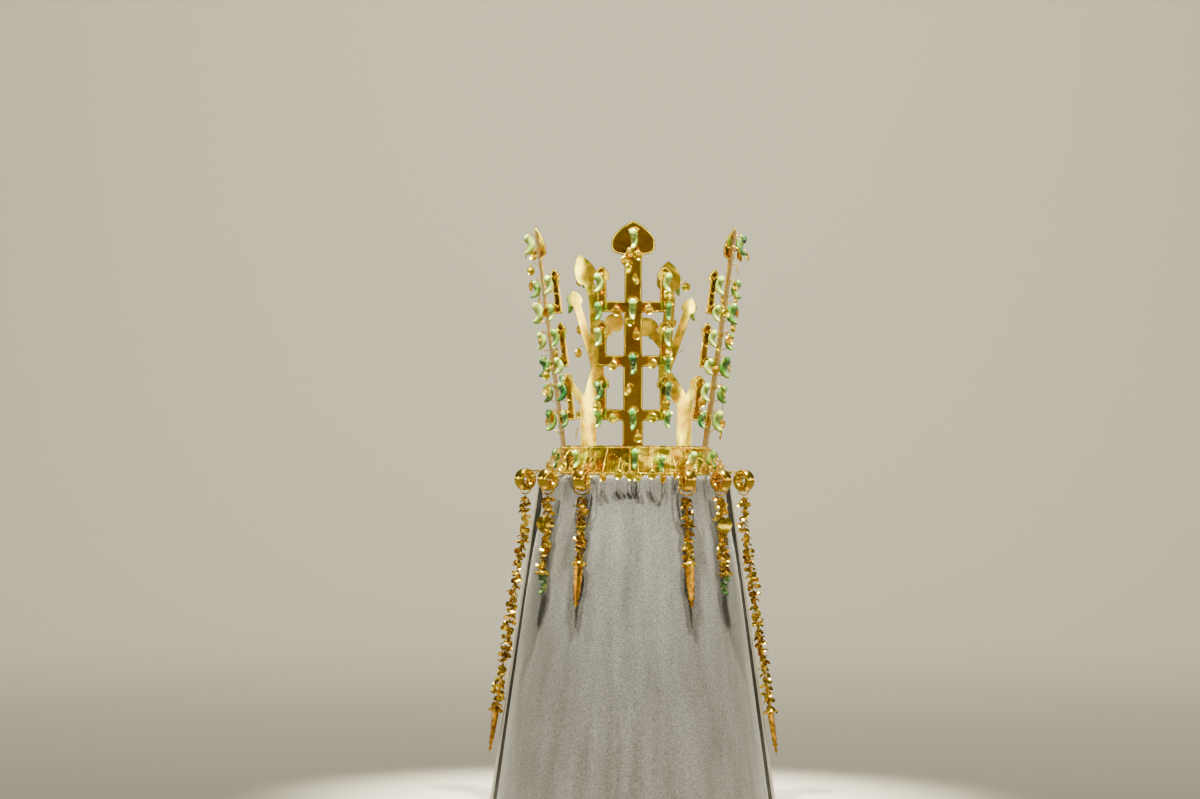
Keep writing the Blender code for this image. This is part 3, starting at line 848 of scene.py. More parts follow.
def add_sheet(bm, outline, matrix, sizes, seed):
    """A flat outline as bent and dented sheet gold."""
    flat = bmesh.new()
    flat.faces.new([flat.verts.new((p.x, p.y, 0)) for p in outline])
    low = min(p.y for p in outline)
    high = max(p.y for p in outline)
    reach = max(abs(p.x) for p in outline)
    cuts = [((x * 0.004, 0, 0), (1, 0, 0)) for x in range(-int(reach / 0.004), int(reach / 0.004) + 1)]
    cuts += [((0, y * 0.006, 0), (0, 1, 0)) for y in range(int(low / 0.006), int(high / 0.006) + 1)]
    for place, across in cuts:
        everything = flat.verts[:] + flat.edges[:] + flat.faces[:]
        bmesh.ops.bisect_plane(flat, geom=everything, dist=1e-6, plane_co=place, plane_no=across)
    layers = []
    for half in (-sizes.sheet / 2, sizes.sheet / 2):
        layer = {}
        for vertex in flat.verts:
            u, v = vertex.co.x, vertex.co.y
            layer[vertex] = bm.verts.new(matrix @ on_sheet(u, v, half + dent_at(u, v, sizes, seed)))
        layers.append(layer)
    back, front = layers
    for face in flat.faces:
        bm.faces.new([front[v] for v in face.verts])
        bm.faces.new([back[v] for v in reversed(face.verts)])
    for edge in flat.edges:
        if edge.is_boundary:
            a, b = edge.verts
            bm.faces.new((front[a], front[b], back[b], back[a]))
    flat.free()


# Comma jades and spangles

COMMA_ARC = 0.0092
COMMA_HEAD = 118.0
COMMA_STATIONS = (
    # degrees along the arc from its centre, and the jade's radius there
    (92, 0.0006), (94, 0.0022), (98, 0.0035), (104, 0.0043), (112, 0.0048), (124, 0.0049), (140, 0.0048),
    (158, 0.0047), (176, 0.0046), (194, 0.0043), (210, 0.0039), (226, 0.0033), (240, 0.0027), (252, 0.0021),
    (262, 0.0014), (267, 0.0006),
)
HOLE_RADIUS = 0.0012


def add_comma(bm, matrix, scale):
    """A comma jade whose head's hole is at the matrix's origin. Its tail points to -Y."""
    head = math.radians(COMMA_HEAD)
    centre = Vector((0, math.cos(head), -math.sin(head))) * COMMA_ARC
    rings = []
    for degrees, radius in COMMA_STATIONS:
        angle = math.radians(degrees)
        out = Vector((0, -math.cos(angle), math.sin(angle)))
        ring = []
        for a in turns(16):
            side = Vector((math.sin(a) * 0.86, 0, 0)) + out * math.cos(a)
            ring.append(matrix @ ((centre + out * COMMA_ARC + side * radius) * scale))
        rings.append(ring)
    add_rings(bm, rings)


def bore_head(piece, matrix, scale):
    """Drills the hole through the head."""
    drill = bmesh.new()
    turned = matrix @ Matrix.Rotation(math.pi / 2, 4, "Y")
    bore = HOLE_RADIUS * scale
    bmesh.ops.create_cone(
        drill, cap_ends=True, segments=14, radius1=bore, radius2=bore, depth=0.02, matrix=turned
    )
    mesh = bpy.data.meshes.new("drill")
    drill.to_mesh(mesh)
    drill.free()
    tool = bpy.data.objects.new("drill", mesh)
    bpy.context.scene.collection.objects.link(tool)
    cut = piece.modifiers.new("hole", "BOOLEAN")
    cut.operation = "DIFFERENCE"
    cut.solver = "EXACT"
    cut.object = tool
    bpy.context.view_layer.update()
    graph = bpy.context.evaluated_depsgraph_get()
    bored = bpy.data.meshes.new_from_object(piece.evaluated_get(graph))
    piece.modifiers.remove(cut)
    old = piece.data
    piece.data = bored
    bpy.data.meshes.remove(old)
    bpy.data.objects.remove(tool)
    bpy.data.meshes.remove(mesh)


def add_jade_wire(bm, place, frame_matrix, root, scale, sizes):
    """A twisted wire from the sheet, and the loop that goes through the head's hole and over it."""
    reach = 0.0058 * scale
    loop = []
    for step in range(17):
        angle = math.tau * step / 16
        over = (1 - math.cos(angle)) * reach * 0.62
        side = math.sin(angle) * reach
        loop.append(place @ Vector((side, over * 0.55, over * 0.85)))
    add_tube(bm, loop[:-1], sizes.strand * 1.1, 6, closed=True)
    top = loop[8]
    start = frame_matrix @ root
    middle = start.lerp(top, 0.5) + Vector((0, 0, 0.0012))
    add_twisted_wire(bm, [start, middle, top], sizes)


def tree_jades(corner_tiers=(0, 2), bud_tiers=(0, 1, 2)):
    """Where jades hang on a tree: (u, v, scale) of each head."""
    places = [(0.0, TIER_FIRST + 0.002 + tier * (TIER_RISE + 0.001), 1.0) for tier in range(TIERS)]
    places.append((0.0, SHEET_HEIGHT - 0.014, 0.95))
    for side in (-1, 1):
        places += [(side * ARM_REACH, TIER_FIRST + tier * TIER_RISE, 0.84) for tier in corner_tiers]
        places += [
            (side * ARM_REACH, TIER_FIRST + ARM_RISE + 0.003 + tier * TIER_RISE, 0.88) for tier in bud_tiers
        ]
    return places


def solid_jades(name, side, lift, sway):
    """Head places of the jades that are solids too, in the same order."""
    if name == "front_tree":
        return tree_jades()
    if side == 0:
        return tree_jades(corner_tiers=(), bud_tiers=(0, 2))
    return [
        (*antler_point(side, lift, sway, out, height), scale)
        for out, height, scale in ((-0.105, 0.995, 0.9), (-0.005, 0.84, 0.85))
    ]


def extra_jades(name, side, lift, sway):
    """Smaller jades that are only in this model."""
    if name == "front_tree":
        return [(ARM_REACH, TIER_FIRST + TIER_RISE, 0.8)]
    if side == 0:
        places = [
            (s * ARM_REACH, TIER_FIRST + tier * TIER_RISE, 0.78) for s in (-1, 1) for tier in range(TIERS)
        ]
        places += [(s * ARM_REACH, TIER_FIRST + ARM_RISE + 0.003 + TIER_RISE, 0.8) for s in (-1, 1)]
        return places + [(0.002, TIER_FIRST + 0.03 + tier * TIER_RISE, 0.8) for tier in range(2)]
    return [
        (*antler_point(side, lift, sway, out, height), 0.8)
        for out, height in ((0.0975, 0.385), (-0.225, 0.71), (-0.115, 0.5))
    ]


def spangle_places(name, side, lift, sway, rng):
    """Where spangles hang on an upright: (u, v) of each wire's root."""
    shoulder, below = (0.0065, 0.037) if name == "front_tree" else (0.017, 0.026)
    if side == 0:
        places = [
            (0.0, TIER_FIRST + share * TIER_RISE + tier * TIER_RISE)
            for tier in range(TIERS)
            for share in (0.52, 0.8)
        ]
        places += [(s * shoulder, SHEET_HEIGHT - below) for s in (-1, 1)]
        places += [(0.004, 0.014), (0.002, SHEET_HEIGHT - 0.03)]
        for tier in range(TIERS):
            height = TIER_FIRST + tier * TIER_RISE
            places += [(s * 0.0205, height) for s in (-1, 1)]
            places += [(s * ARM_REACH, height + 0.016) for s in (-1, 1)]
    else:
        spots = [(0.001, 0.02), (-0.004, 0.04), (0.009, 0.058), (-0.018, 0.078), (-0.012, 0.112)]
        spots += [(-0.023, 0.128), (-0.022, 0.155), (-0.03, 0.186), (-0.013, 0.196), (-0.007, 0.14)]
        bend = sway * ANTLER_HEIGHT
        places = [(side * (out - bend * min(1, height / 0.06)), height * lift) for out, height in spots]
    return [(u + rng.uniform(-1, 1) * 0.0012, v + rng.uniform(-1, 1) * 0.0012) for u, v in places]


def hang_spangle(wires, discs, root, way, reach, drop, sizes, rng):
    """A springy twisted wire that ends in an eye, the given drop lower, and a disc that swings from it."""
    end = root + way * reach + DOWN * drop
    bulge = root.lerp(end, 0.55) - DOWN * rng.uniform(0.0008, 0.003) + way * rng.uniform(0, 0.0015)
    add_twisted_wire(wires, [root, bulge, end], sizes)
    eye = 0.0011
    face = Matrix.Rotation(rng.uniform(-0.6, 0.6), 3, "Z") @ Vector((way.x, way.y, 0)).normalized()
    face = (face + DOWN * rng.uniform(-0.2, 0.15)).normalized()
    ring = [
        end + DOWN * eye + (face * math.cos(a) + DOWN * math.sin(a)) * eye
        for a in turns(10)
    ]
    add_tube(wires, ring, sizes.strand * 0.9, 5, closed=True)
    hang = face.cross(DOWN).cross(face).normalized()
    hang = hang if hang.z < 0 else -hang
    add_spangle(discs, facing(end + DOWN * eye * 1.9 + hang * (sizes.spangle - 0.0009), face), sizes)


JADE_SHADES = ("apple_green_jade", "milky_jade", "apple_green_jade", "bottle_green_jade", "milky_jade")


# The band and its hooks

HOOK_WIRE = 0.0008
HOOK_HALF_WIDTH = 0.0105
HOOK_REACH = 0.012
BORDER_INSET = 0.0022
DOT_ROOT = BAND_RADIUS - 0.00025
WAVES = 16
WAVE_HEIGHT = 0.0065


def ring_places():
    """The centre and outward direction of each thick ring."""
    top = STAND_TOP + RING_DROP * SLOPE
    for side, side_name in ((1, "left"), (-1, "right")):
        for place, degrees, length, finial, *twists in PENDANTS:
            angle = math.radians(degrees)
            edge = Vector((side * top * math.sin(angle), -top * STAND_DEPTH * math.cos(angle), 0))
            away = Vector((side * math.sin(angle) * STAND_DEPTH, -math.cos(angle), 0)).normalized()
            centre = edge + away * (RING_OUTER + RING_CLEARANCE)
            centre.z = STAND_HEIGHT - RING_DROP
            twists = [-side * math.radians(twist) for twist in twists]
            yield f"{side_name}_{place}", centre, away, length, finial, *twists


def add_hook(bm, centre, away, turn):
    """The doubled wire that carries a thick ring."""
    inward = Matrix.Rotation(turn, 3, "Z") @ -away
    across = Vector((inward.y, -inward.x, 0))
    seat = centre + Vector((0, 0, RING_HOLE - 0.0014))
    halves = []
    for side in (-1, 1):
        leg = seat + across * side * HOOK_HALF_WIDTH
        middle = leg + inward * HOOK_REACH
        root = Vector((middle.x, middle.y, 0)).normalized() * (BAND_RADIUS - 0.0006)
        root.z = BAND_BOTTOM + 0.005
        middle.z = BAND_BOTTOM + 0.00375
        halves.append([root, middle, leg])
    path = smooth_path(halves[0] + halves[1][::-1], HOOK_WIRE)
    add_tube(bm, path, HOOK_WIRE, 8)


def add_band(bm, dots, sizes):
    """The band's wall, wrinkled from top to bottom, with a punched border along both edges."""
    columns, rows = 300, 14
    layers = []
    for radius in (BAND_RADIUS, BAND_RADIUS - BAND_WALL):
        layer = []
        for row in range(rows + 1):
            height = BAND_BOTTOM + BAND_HEIGHT * row / rows
            ring = []
            for way in map(heading, turns(columns)):
                dent = noise.noise(Vector((way.x * 11, way.y * 11, height * 14))) * 0.6
                dent += noise.noise(Vector((way.x * 34, way.y * 34, height * 30))) * 0.4
                spot = way * (radius + (dent - 0.45) * sizes.dent * 3.0)
                spot.z = height
                ring.append(spot)
            layer.append(ring)
        layers.append(layer)
    outer, inner = layers
    add_rings(bm, outer + inner[::-1], closed=True)
    count = round(math.tau * BAND_RADIUS / sizes.dot_spacing)
    for height in (BAND_BOTTOM + BORDER_INSET, BAND_TOP - BORDER_INSET):
        for way in map(heading, turns(count)):
            add_dot(dots, way * DOT_ROOT + Vector((0, 0, height)), way, sizes.dot)
    # A finer punched wave between the borders
    for a in turns(count):
        way = heading(a)
        height = (BAND_BOTTOM + BAND_TOP) / 2 + math.sin(a * WAVES) * WAVE_HEIGHT
        add_dot(dots, way * DOT_ROOT + Vector((0, 0, height)), way, sizes.dot * 0.6)


BAND_MIDDLE = BAND_RADIUS - BAND_WALL / 2
BAND_SPANGLES = 44
BAND_JADES = (
    # azimuth, scale, drop of the head below the band's top edge
    (19.0, 0.8, 0.014), (-44.0, 0.85, 0.009), (44.0, 0.85, 0.01), (-70.0, 0.85, 0.008), (68.0, 0.85, 0.008),
    (106.0, 0.85, 0.01), (-106.0, 0.85, 0.01), (130.0, 0.8, 0.009), (-130.0, 0.8, 0.009), (165.0, 0.85, 0.01),
    (-165.0, 0.85, 0.01),
)


# Pendants

LINK_BOTTOM = 0.0159
FIRST_BEAD = 0.0035
LAST_BEAD = 0.0085
COLLAR_RADIUS = 0.0084
COLLAR_HEIGHT = 0.006
LANCE_SECTION = (
    # half of its outline, as shares of half its width and of its thickness
    (-1, 0.12), (-0.88, 0.4), (-0.45, 0.6), (-0.1, 0.96), (0, 1),
    (0.1, 0.96), (0.45, 0.6), (0.88, 0.4), (1, 0.12),
)


def chain_offset(depth):
    """How far out a chain hangs at a depth below its ring's centre: plumb, then on the stand's slope."""
    return max(0.0, CHAIN_STANDOFF + SLOPE * depth - RING_OUTER - RING_CLEARANCE)


def chain_point(depth):
    return Vector((0, -chain_offset(depth), -depth))


def hang_turn(depth):
    """The turn that lines a finial or a tier up with its chain."""
    lean = math.atan(SLOPE) if chain_offset(depth) > 0 else 0.0
    return Matrix.Rotation(-lean, 4, "X")


def add_thick_ring(bm, matrix):
    """A fat hollow ring whose hole looks sideways, soldered from two halves."""
    mean = (RING_OUTER + RING_HOLE) / 2
    thick = (RING_OUTER - RING_HOLE) / 2
    rings = []
    for a in turns(56):
        out = Vector((0, math.cos(a), math.sin(a)))
        ring = []
        for b in turns(28):
            across, height = math.sin(b), math.cos(b)
            across = math.copysign(abs(across) ** 0.8, across)
            height = math.copysign(abs(height) ** 0.8, height)
            seam = 1 - 0.03 * math.exp(-((b - math.pi) ** 2) * 60)
            dent = 1 + 0.012 * noise.noise(Vector((math.cos(a) * 2, math.sin(a) * 2, b)))
            spot = out * (mean + height * thick * 0.985 * seam * dent)
            ring.append(matrix @ (spot + Vector((across * RING_HALF_THICKNESS, 0, 0))))
        rings.append(ring)
    add_rings(bm, rings, closed=True)


def add_link(bm, matrix):
    """The oval link that goes round the thick ring."""
    centre = -0.0087
    path = [
        matrix @ Vector((math.cos(a) * 0.0098, 0, centre + math.sin(a) * 0.0072))
        for a in turns(40)
    ]
    add_tube(bm, path, 0.0009, 10, closed=True)


def add_tier(bm, matrix, depth, sizes, rng, first_turn):
    """A bead with a crown of small leaves, and the link below it."""
    here = matrix @ Matrix.Translation(chain_point(depth)) @ hang_turn(depth)
    add_lathe(
        bm, [(0, 0.0019), (0.0011, 0.0016), (0.0019, 0.0004), (0.0017, -0.0009), (0, -0.0018)], here, 10
    )
    loop = [
        here @ (
            Matrix.Rotation(first_turn, 3, "Z")
            @ Vector((math.cos(a) * 0.0013, 0, -0.0032 + math.sin(a) * 0.0022))
        )
        for a in turns(12)
    ]
    add_tube(bm, loop, 0.00045, 5, closed=True)
    for index in range(sizes.leaves):
        turn = first_turn + math.tau * index / sizes.leaves + rng.uniform(-0.4, 0.4)
        size = sizes.leaf * rng.uniform(0.85, 1.1)
        root = Vector((0, rng.uniform(-0.0026, -0.0012), rng.uniform(-0.0022, 0.0014)))
        stalk = here @ Matrix.Rotation(turn, 4, "Z") @ Matrix.Translation(root)
        droop = Matrix.Rotation(math.radians(rng.uniform(8, 84)), 4, "X")
        add_leaf(
            bm, stalk @ droop @ Matrix.Rotation(rng.uniform(-1.1, 1.1), 4, "Y"), size, size * 0.95, 0.0007
        )


def add_collar(bm, matrix, radius, height, rng):
    """A bell cap with a granulated rim and a frill of small leaves."""
    profile = [(0, 0.0004), (0.0018, 0), (radius * 0.5, -height * 0.34), (radius * 0.78, -height * 0.72)]
    profile += [(radius * 0.86, -height), (radius * 0.74, -height * 1.03), (0, -height * 1.03)]
    add_lathe(bm, profile, matrix, 24)
    for a in turns(16):
        spot = Vector((math.cos(a) * radius * 0.86, math.sin(a) * radius * 0.86, -height * 0.93))
        add_bead(bm, matrix @ Matrix.Translation(spot), radius * 0.13)
    for a in turns(8):
        turn = Matrix.Rotation(a + rng.uniform(-0.2, 0.2), 4, "Z")
        root = Matrix.Translation((0, -radius * 0.72, -height * rng.uniform(0.45, 0.8)))
        droop = Matrix.Rotation(math.radians(rng.uniform(55, 84)), 4, "X")
        swing = Matrix.Rotation(rng.uniform(-0.8, 0.8), 4, "Y")
        add_leaf(bm, matrix @ turn @ root @ droop @ swing, 0.0046, 0.0044, 0.0006)


def add_lance(bm, matrix, rng):
    """A long nib-shaped leaf of thick sheet, ridged down its middle, with small leaves along both edges."""

    def half_at(share):
        return 0.0053 * max(0.03, 1 - share**2.2)

    rings = []
    for step in range(19):
        share = step / 18
        half = half_at(share)
        thick = 0.0021 * max(0.06, 1 - share**2.4)
        z = -share * LANCE_LENGTH
        front = [Vector((x * half, -y * thick, z)) for x, y in LANCE_SECTION]
        back = [Vector((x * half, y * thick, z)) for x, y in LANCE_SECTION[::-1]]
        rings.append([matrix @ point for point in front + back])
    add_rings(bm, rings)
    for side in (-1, 1):
        for index in range(7):
            share = 0.07 + index * 0.13
            root = (side * half_at(share) * 0.7, rng.uniform(-0.0006, 0.0004), -share * LANCE_LENGTH)
            swing = Matrix.Rotation(-side * rng.uniform(0.15, 0.45), 4, "Y") @ Matrix.Rotation(
                math.pi / 2, 4, "X"
            )
            twist = Matrix.Rotation(rng.uniform(-0.35, 0.35), 4, "Y")
            add_leaf(bm, matrix @ Matrix.Translation(root) @ swing @ twist, 0.0031, 0.0034, 0.0005)


# Operators

BOARD_AT_FOOT = 0.0078
BOARD_AT_TOP = 0.0034
# half thickness, gap to the solid's outline, and depth at the foot and at the top
BOARD = (0.0019, 0.0006, 0.012, 0.012)
EDGING = (0.0026, 0.0001, 0.0034, 0.0014)
# the photograph's size, where the band's lower edge stands in it, and its tilt
IMAGE = (1200, 799)
BAND_IN_IMAGE = (635, 475)
IMAGE_TILT = 0.35
SENSOR = 36.0


class CROWN_OT_stand(bpy.types.Operator):
    """Covers both halves of the stand with felt and edges the board between them"""

    bl_idname = "crown.cover_stand"
    bl_label = "Cover the stand"

    def execute(self, context):
        cloth = context.scene.crown_cloth
        columns, rows = 260, 90
        edge = [
            (
                STAND_TOP - STAND_EDGE + math.sin(a) * STAND_EDGE,
                STAND_HEIGHT - STAND_EDGE + math.cos(a) * STAND_EDGE,
            )
            for a in (math.radians(81 * i / 7) for i in range(8))
        ]
        profile = [(0.03, STAND_HEIGHT), (0.07, STAND_HEIGHT), *edge]
        last_radius, last_height = profile[-1]
        for i in range(1, rows + 1):
            radius = last_radius + (STAND_BASE - last_radius) * i / rows
            profile.append((radius, last_height * (1 - i / rows)))
        rings = []
        for radius, height in [*profile, (STAND_BASE - 0.004, 0.0)]:
            ring = []
            fade = min(1.0, max(0.0, (STAND_HEIGHT - 0.012 - height) / 0.1)) * min(1.0, height / 0.01)
            # The cloth is pulled in below the top edge, so it hangs straight down there at first
            depth = max(0.0, STAND_HEIGHT - STAND_EDGE - height)
            radius -= SLOPE * depth * math.exp(-((depth / 0.045) ** 2))
            narrow = 1 - self.board_reach(height) / radius if radius > 0.09 else 1.0
            for way in map(heading, turns(columns)):
                wave = noise.noise(Vector((way.x * 4.2, way.y * 4.2, height * 3.0)))
                wave += 0.5 * noise.noise(Vector((way.x * 9, way.y * 9, height * 4.0)))
                out = radius + wave * cloth.ripple * fade
                ring.append(Vector((way.x * out * narrow, way.y * out * STAND_DEPTH, height)))
            rings.append(ring)
        bm = bmesh.new()
        add_rings(bm, rings)
        make_piece("felt_cover", bm, "dark_wool_felt", ["display_stand"], sharp=60)
        self.add_board()
        return {"FINISHED"}

    def board_reach(self, height):
        """How far the board stands out beyond the felt."""
        share = min(1.0, height / STAND_HEIGHT)
        return BOARD_AT_FOOT + (BOARD_AT_TOP - BOARD_AT_FOOT) * share

    def add_board(self):
        """A thin board between the felt halves, and the steel strip along each of its sloping edges."""
        board, edging = bmesh.new(), bmesh.new()
        top = STAND_HEIGHT - 0.004
        for side in (-1, 1):
            for made, half, outer, low, high in ((board, *BOARD), (edging, *EDGING)):
                rings = []
                for step in range(31):
                    height = top * step / 30
                    limit = STAND_BASE - SLOPE * height
                    far = limit - outer
                    near = limit - (low + (high - low) * height / STAND_HEIGHT)
                    round_off = min(half, far - near) * 0.35
                    loop = [
                        (near, -half), (far - round_off, -half), (far, -half + round_off),
                        (far, half - round_off), (far - round_off, half), (near, half),
                    ]
                    rings.append([Vector((side * x, y, height)) for x, y in loop])
                add_rings(made, rings)
        # The board is painted near-black as the shade in the gap between the felt and the edging.
        make_piece("stand_board", board, "black_board")
        make_piece("stand_edging", edging, "satin_steel")


class CROWN_OT_band(bpy.types.Operator):
    """Beats out the headband, with its hooks, spangles and jades"""

    bl_idname = "crown.dress_band"
    bl_label = "Dress the headband"

    def execute(self, context):
        sizes = context.scene.crown_sizes
        rng = random.Random(5)
        bm = bmesh.new()
        dots = bmesh.new()
        add_band(bm, dots, sizes)
        for _, centre, away, _, _, turn, _ in ring_places():
            add_hook(bm, centre, away, turn)
        # Three rivets hold each upright's foot
        for _, azimuth, *_ in UPRIGHTS:
            for across, height in ((-0.006, 0.011), (0.006, 0.011), (0.0, 0.022)):
                way = heading(math.radians(azimuth + CROWN_TURN) + across / BAND_RADIUS)
                spot = way * (BAND_RADIUS - 0.0004) + Vector((0, 0, BAND_BOTTOM + height))
                add_lathe(
                    bm, [(0.0016, 0), (0.0015, 0.0007), (0.0009, 0.0011), (0, 0.0012)], facing(spot, way), 12
                )
        make_piece("band_sheet", bm, "wrinkled_band_gold", ["headband"])
        make_piece("band_punched_dots", dots, "punched_gold")
        wires, discs = bmesh.new(), bmesh.new()
        band_jades = [(0.0, 0.95, 0.008, True), *[(*each, False) for each in BAND_JADES]]
        for index, (azimuth, scale, drop, is_solid) in enumerate(band_jades):
            a = math.radians(azimuth)
            way = heading(a)
            root = way * BAND_MIDDLE + Vector((0, 0, BAND_TOP - drop))
            twist = 0.0 if is_solid else math.radians(rng.uniform(-35, 35))
            place = Matrix.Translation(root + way * JADE_STANDOFF) @ Matrix.Rotation(a + twist, 4, "Z")
            stone = bmesh.new()
            add_comma(stone, place, scale)
            shade = JADE_SHADES[(index * 2) % len(JADE_SHADES)]
            nodes = ["headband_jade"] if is_solid else []
            piece = make_piece(f"band_comma_{index + 1}", stone, shade, nodes)
            bore_head(piece, place, scale)
            add_jade_wire(wires, place, Matrix.Identity(4), root, scale, sizes)
        for index in range(BAND_SPANGLES):
            way = heading(math.tau * (index + 0.5) / BAND_SPANGLES + rng.uniform(-0.04, 0.04))
            # Over the stand's top they hang less low
            ledge = 1 / math.hypot(way.x / STAND_TOP, way.y / (STAND_TOP * STAND_DEPTH))
            lowest = BAND_BOTTOM - 0.009 if ledge < BAND_RADIUS + 0.009 else BAND_BOTTOM + 0.0005
            root = way * BAND_MIDDLE
            root.z = BAND_TOP - (0.003 if index % 2 else 0.013)
            end = lowest + sizes.spangle * 2 + rng.uniform(0.001, 0.006)
            hang_spangle(wires, discs, root, way, rng.uniform(0.011, 0.015), root.z - end, sizes, rng)
        make_piece("band_wires", wires, "drawn_gold_wire")
        make_piece("band_spangles", discs, "spangle_gold")
        return {"FINISHED"}


class CROWN_OT_uprights(bpy.types.Operator):
    """Cuts, bends and punches the trees and antlers"""

    bl_idname = "crown.dress_uprights"
    bl_label = "Dress the uprights"

    def execute(self, context):
        sizes = context.scene.crown_sizes
        tree = tree_outline()
        for seed, (name, azimuth, side, lift, sway, tip_out) in enumerate(UPRIGHTS):
            outline = antler_outline(side, lift, sway, tip_out) if side else tree
            matrix = upright_place(azimuth)
            bm = bmesh.new()
            dots = bmesh.new()
            add_sheet(bm, outline, matrix, sizes, seed * 3.7)
            for dot in edge_dots(outline, sizes.border, sizes.dot_spacing):
                if dot.y < 0.002:
                    continue
                u, v = dot
                spot = on_sheet(u, v, sizes.sheet / 2 + dent_at(u, v, sizes, seed * 3.7) - 0.00005)
                add_dot(dots, matrix @ spot, matrix.to_3x3() @ outwards(u), sizes.dot)
            # The antlers take the gold painted lighter for light, and the trees the gold painted darker for
            # shade.
            finish = "beaten_antler_gold" if side else "burnished_sheet_gold"
            make_piece(f"{name}_sheet", bm, finish, [name])
            make_piece(f"{name}_punched_dots", dots, "punched_gold")
        return {"FINISHED"}


class CROWN_OT_jades(bpy.types.Operator):
    """Hangs the comma jades on the uprights"""

    bl_idname = "crown.hang_jades"
    bl_label = "Hang the jades"

    def execute(self, context):
        sizes = context.scene.crown_sizes
        solid_twists = random.Random(7)
        loose = random.Random(11)
        for name, azimuth, side, lift, sway, _ in UPRIGHTS:
            matrix = upright_place(azimuth)
            wires = bmesh.new()
            places = [
                (each, solid_twists.uniform(-22, 22), True) for each in solid_jades(name, side, lift, sway)
            ]
            places += [(each, loose.uniform(-30, 30), False) for each in extra_jades(name, side, lift, sway)]
            for index, ((u, v, scale), twist, is_solid) in enumerate(places):
                root = on_sheet(u, v)
                head = root + outwards(u) * (JADE_STANDOFF + 0.0005)
                turn = Matrix.Rotation(u / SHEET_RADIUS + math.radians(twist), 4, "Z")
                place = matrix @ Matrix.Translation(head) @ turn
                stone = bmesh.new()
                add_comma(stone, place, scale)
                nodes = [f"{name}_jade_{index + 1}"] if is_solid else []
                shade = JADE_SHADES[(index * 3 + len(name)) % len(JADE_SHADES)]
                piece = make_piece(f"{name}_comma_{index + 1}", stone, shade, nodes)
                bore_head(piece, place, scale)
                add_jade_wire(wires, place, matrix, root, scale, sizes)
            make_piece(f"{name}_jade_wires", wires, "drawn_gold_wire")
        return {"FINISHED"}


class CROWN_OT_spangles(bpy.types.Operator):
    """Hangs the gold spangles on the uprights"""

    bl_idname = "crown.hang_spangles"
    bl_label = "Hang the spangles"

    def execute(self, context):
        sizes = context.scene.crown_sizes
        rng = random.Random(23)
        for name, azimuth, side, lift, sway, _ in UPRIGHTS:
            matrix = upright_place(azimuth)
            wires, discs = bmesh.new(), bmesh.new()
            for u, v in spangle_places(name, side, lift, sway, rng):
                out = matrix.to_3x3() @ outwards(u)
                way = Matrix.Rotation(rng.uniform(-0.6, 0.6), 3, "Z") @ out - DOWN * rng.uniform(-0.1, 0.45)
                reach = rng.uniform(0.007, 0.014)
                root = matrix @ on_sheet(u, v)
                if rng.random() < (0.12 if name == "front_tree" else 0.2):
                    tip = root + way * reach
                    add_twisted_wire(wires, [root, root.lerp(tip, 0.5) + DOWN * 0.001, tip], sizes)
                    add_bead(wires, Matrix.Translation(tip), 0.0011)
                    continue
                hang_spangle(wires, discs, root, way, reach, 0.0, sizes, rng)
            make_piece(f"{name}_spangle_wires", wires, "drawn_gold_wire")
            make_piece(f"{name}_spangles", discs, "spangle_gold")
        return {"FINISHED"}


class CROWN_OT_pendants(bpy.types.Operator):
    """Makes the six pendants from their thick rings down"""

    bl_idname = "crown.dress_pendants"
    bl_label = "Dress the pendants"

    def execute(self, context):
        sizes = context.scene.crown_sizes
        for seed, (name, centre, away, length, finial, ring_turn, turn) in enumerate(ring_places()):
            rng = random.Random(40 + seed)
            matrix = Matrix.Translation(centre) @ Matrix.Rotation(math.atan2(away.x, -away.y), 4, "Z")
            turned = matrix @ Matrix.Rotation(ring_turn, 4, "Z")
            ring = bmesh.new()
            add_thick_ring(ring, turned)
            make_piece(f"{name}_thick_ring", ring, "polished_ring_gold", [f"{name}_ring"])
            chain = bmesh.new()
            add_link(chain, turned)
            first = LINK_BOTTOM + FIRST_BEAD
            last = length - LAST_BEAD
            count = round((last - first) / sizes.tier)
            for tier in range(count + 1):
                add_tier(chain, matrix, first + (last - first) * tier / count, sizes, rng, tier * 1.1)
            if finial == "jade":
                # A heart-shaped leaf hangs halfway down, towards the crown's middle
                side = 1 if name.startswith("right") else -1
                place = matrix @ Matrix.Translation(chain_point(0.044)) @ Matrix.Rotation(side * 0.7, 4, "Z")
                hang = Matrix.Translation((-side * 0.004, -0.0048, 0.004)) @ Matrix.Rotation(
                    math.pi / 2 - 0.1, 4, "X"
                )
                # Its two lobes meet at the tip, as on a heart
                for lobe in (-1, 1):
                    half = Matrix.Translation((lobe * 0.0034, 0, 0)) @ Matrix.Rotation(-lobe * 0.2, 4, "Z")
                    add_leaf(chain, place @ hang @ half, 0.0185, 0.0115, 0.0012)
            end = matrix @ Matrix.Translation(chain_point(length)) @ hang_turn(length)
            add_collar(
                chain, end @ Matrix.Translation((0, 0, COLLAR_HEIGHT)), COLLAR_RADIUS, COLLAR_HEIGHT, rng
            )
            make_piece(f"{name}_leaf_chain", chain, "beaten_pendant_gold", [f"{name}_chain"])
            tip = bmesh.new()
            if finial == "lance":
                hung = end @ Matrix.Rotation(turn, 4, "Z") @ Matrix.Translation((0, 0, -GAP))
                add_lance(tip, hung, rng)
                # The nib's gold is painted darker and browner for shade.
                make_piece(f"{name}_nib", tip, "red_gold_blade", [f"{name}_lance"])
            else:
                add_comma(tip, matrix @ Matrix.Translation(chain_point(length + 0.0052)), 0.9)
                make_piece(f"{name}_comma", tip, "bottle_green_jade", [f"{name}_jade"])
        return {"FINISHED"}


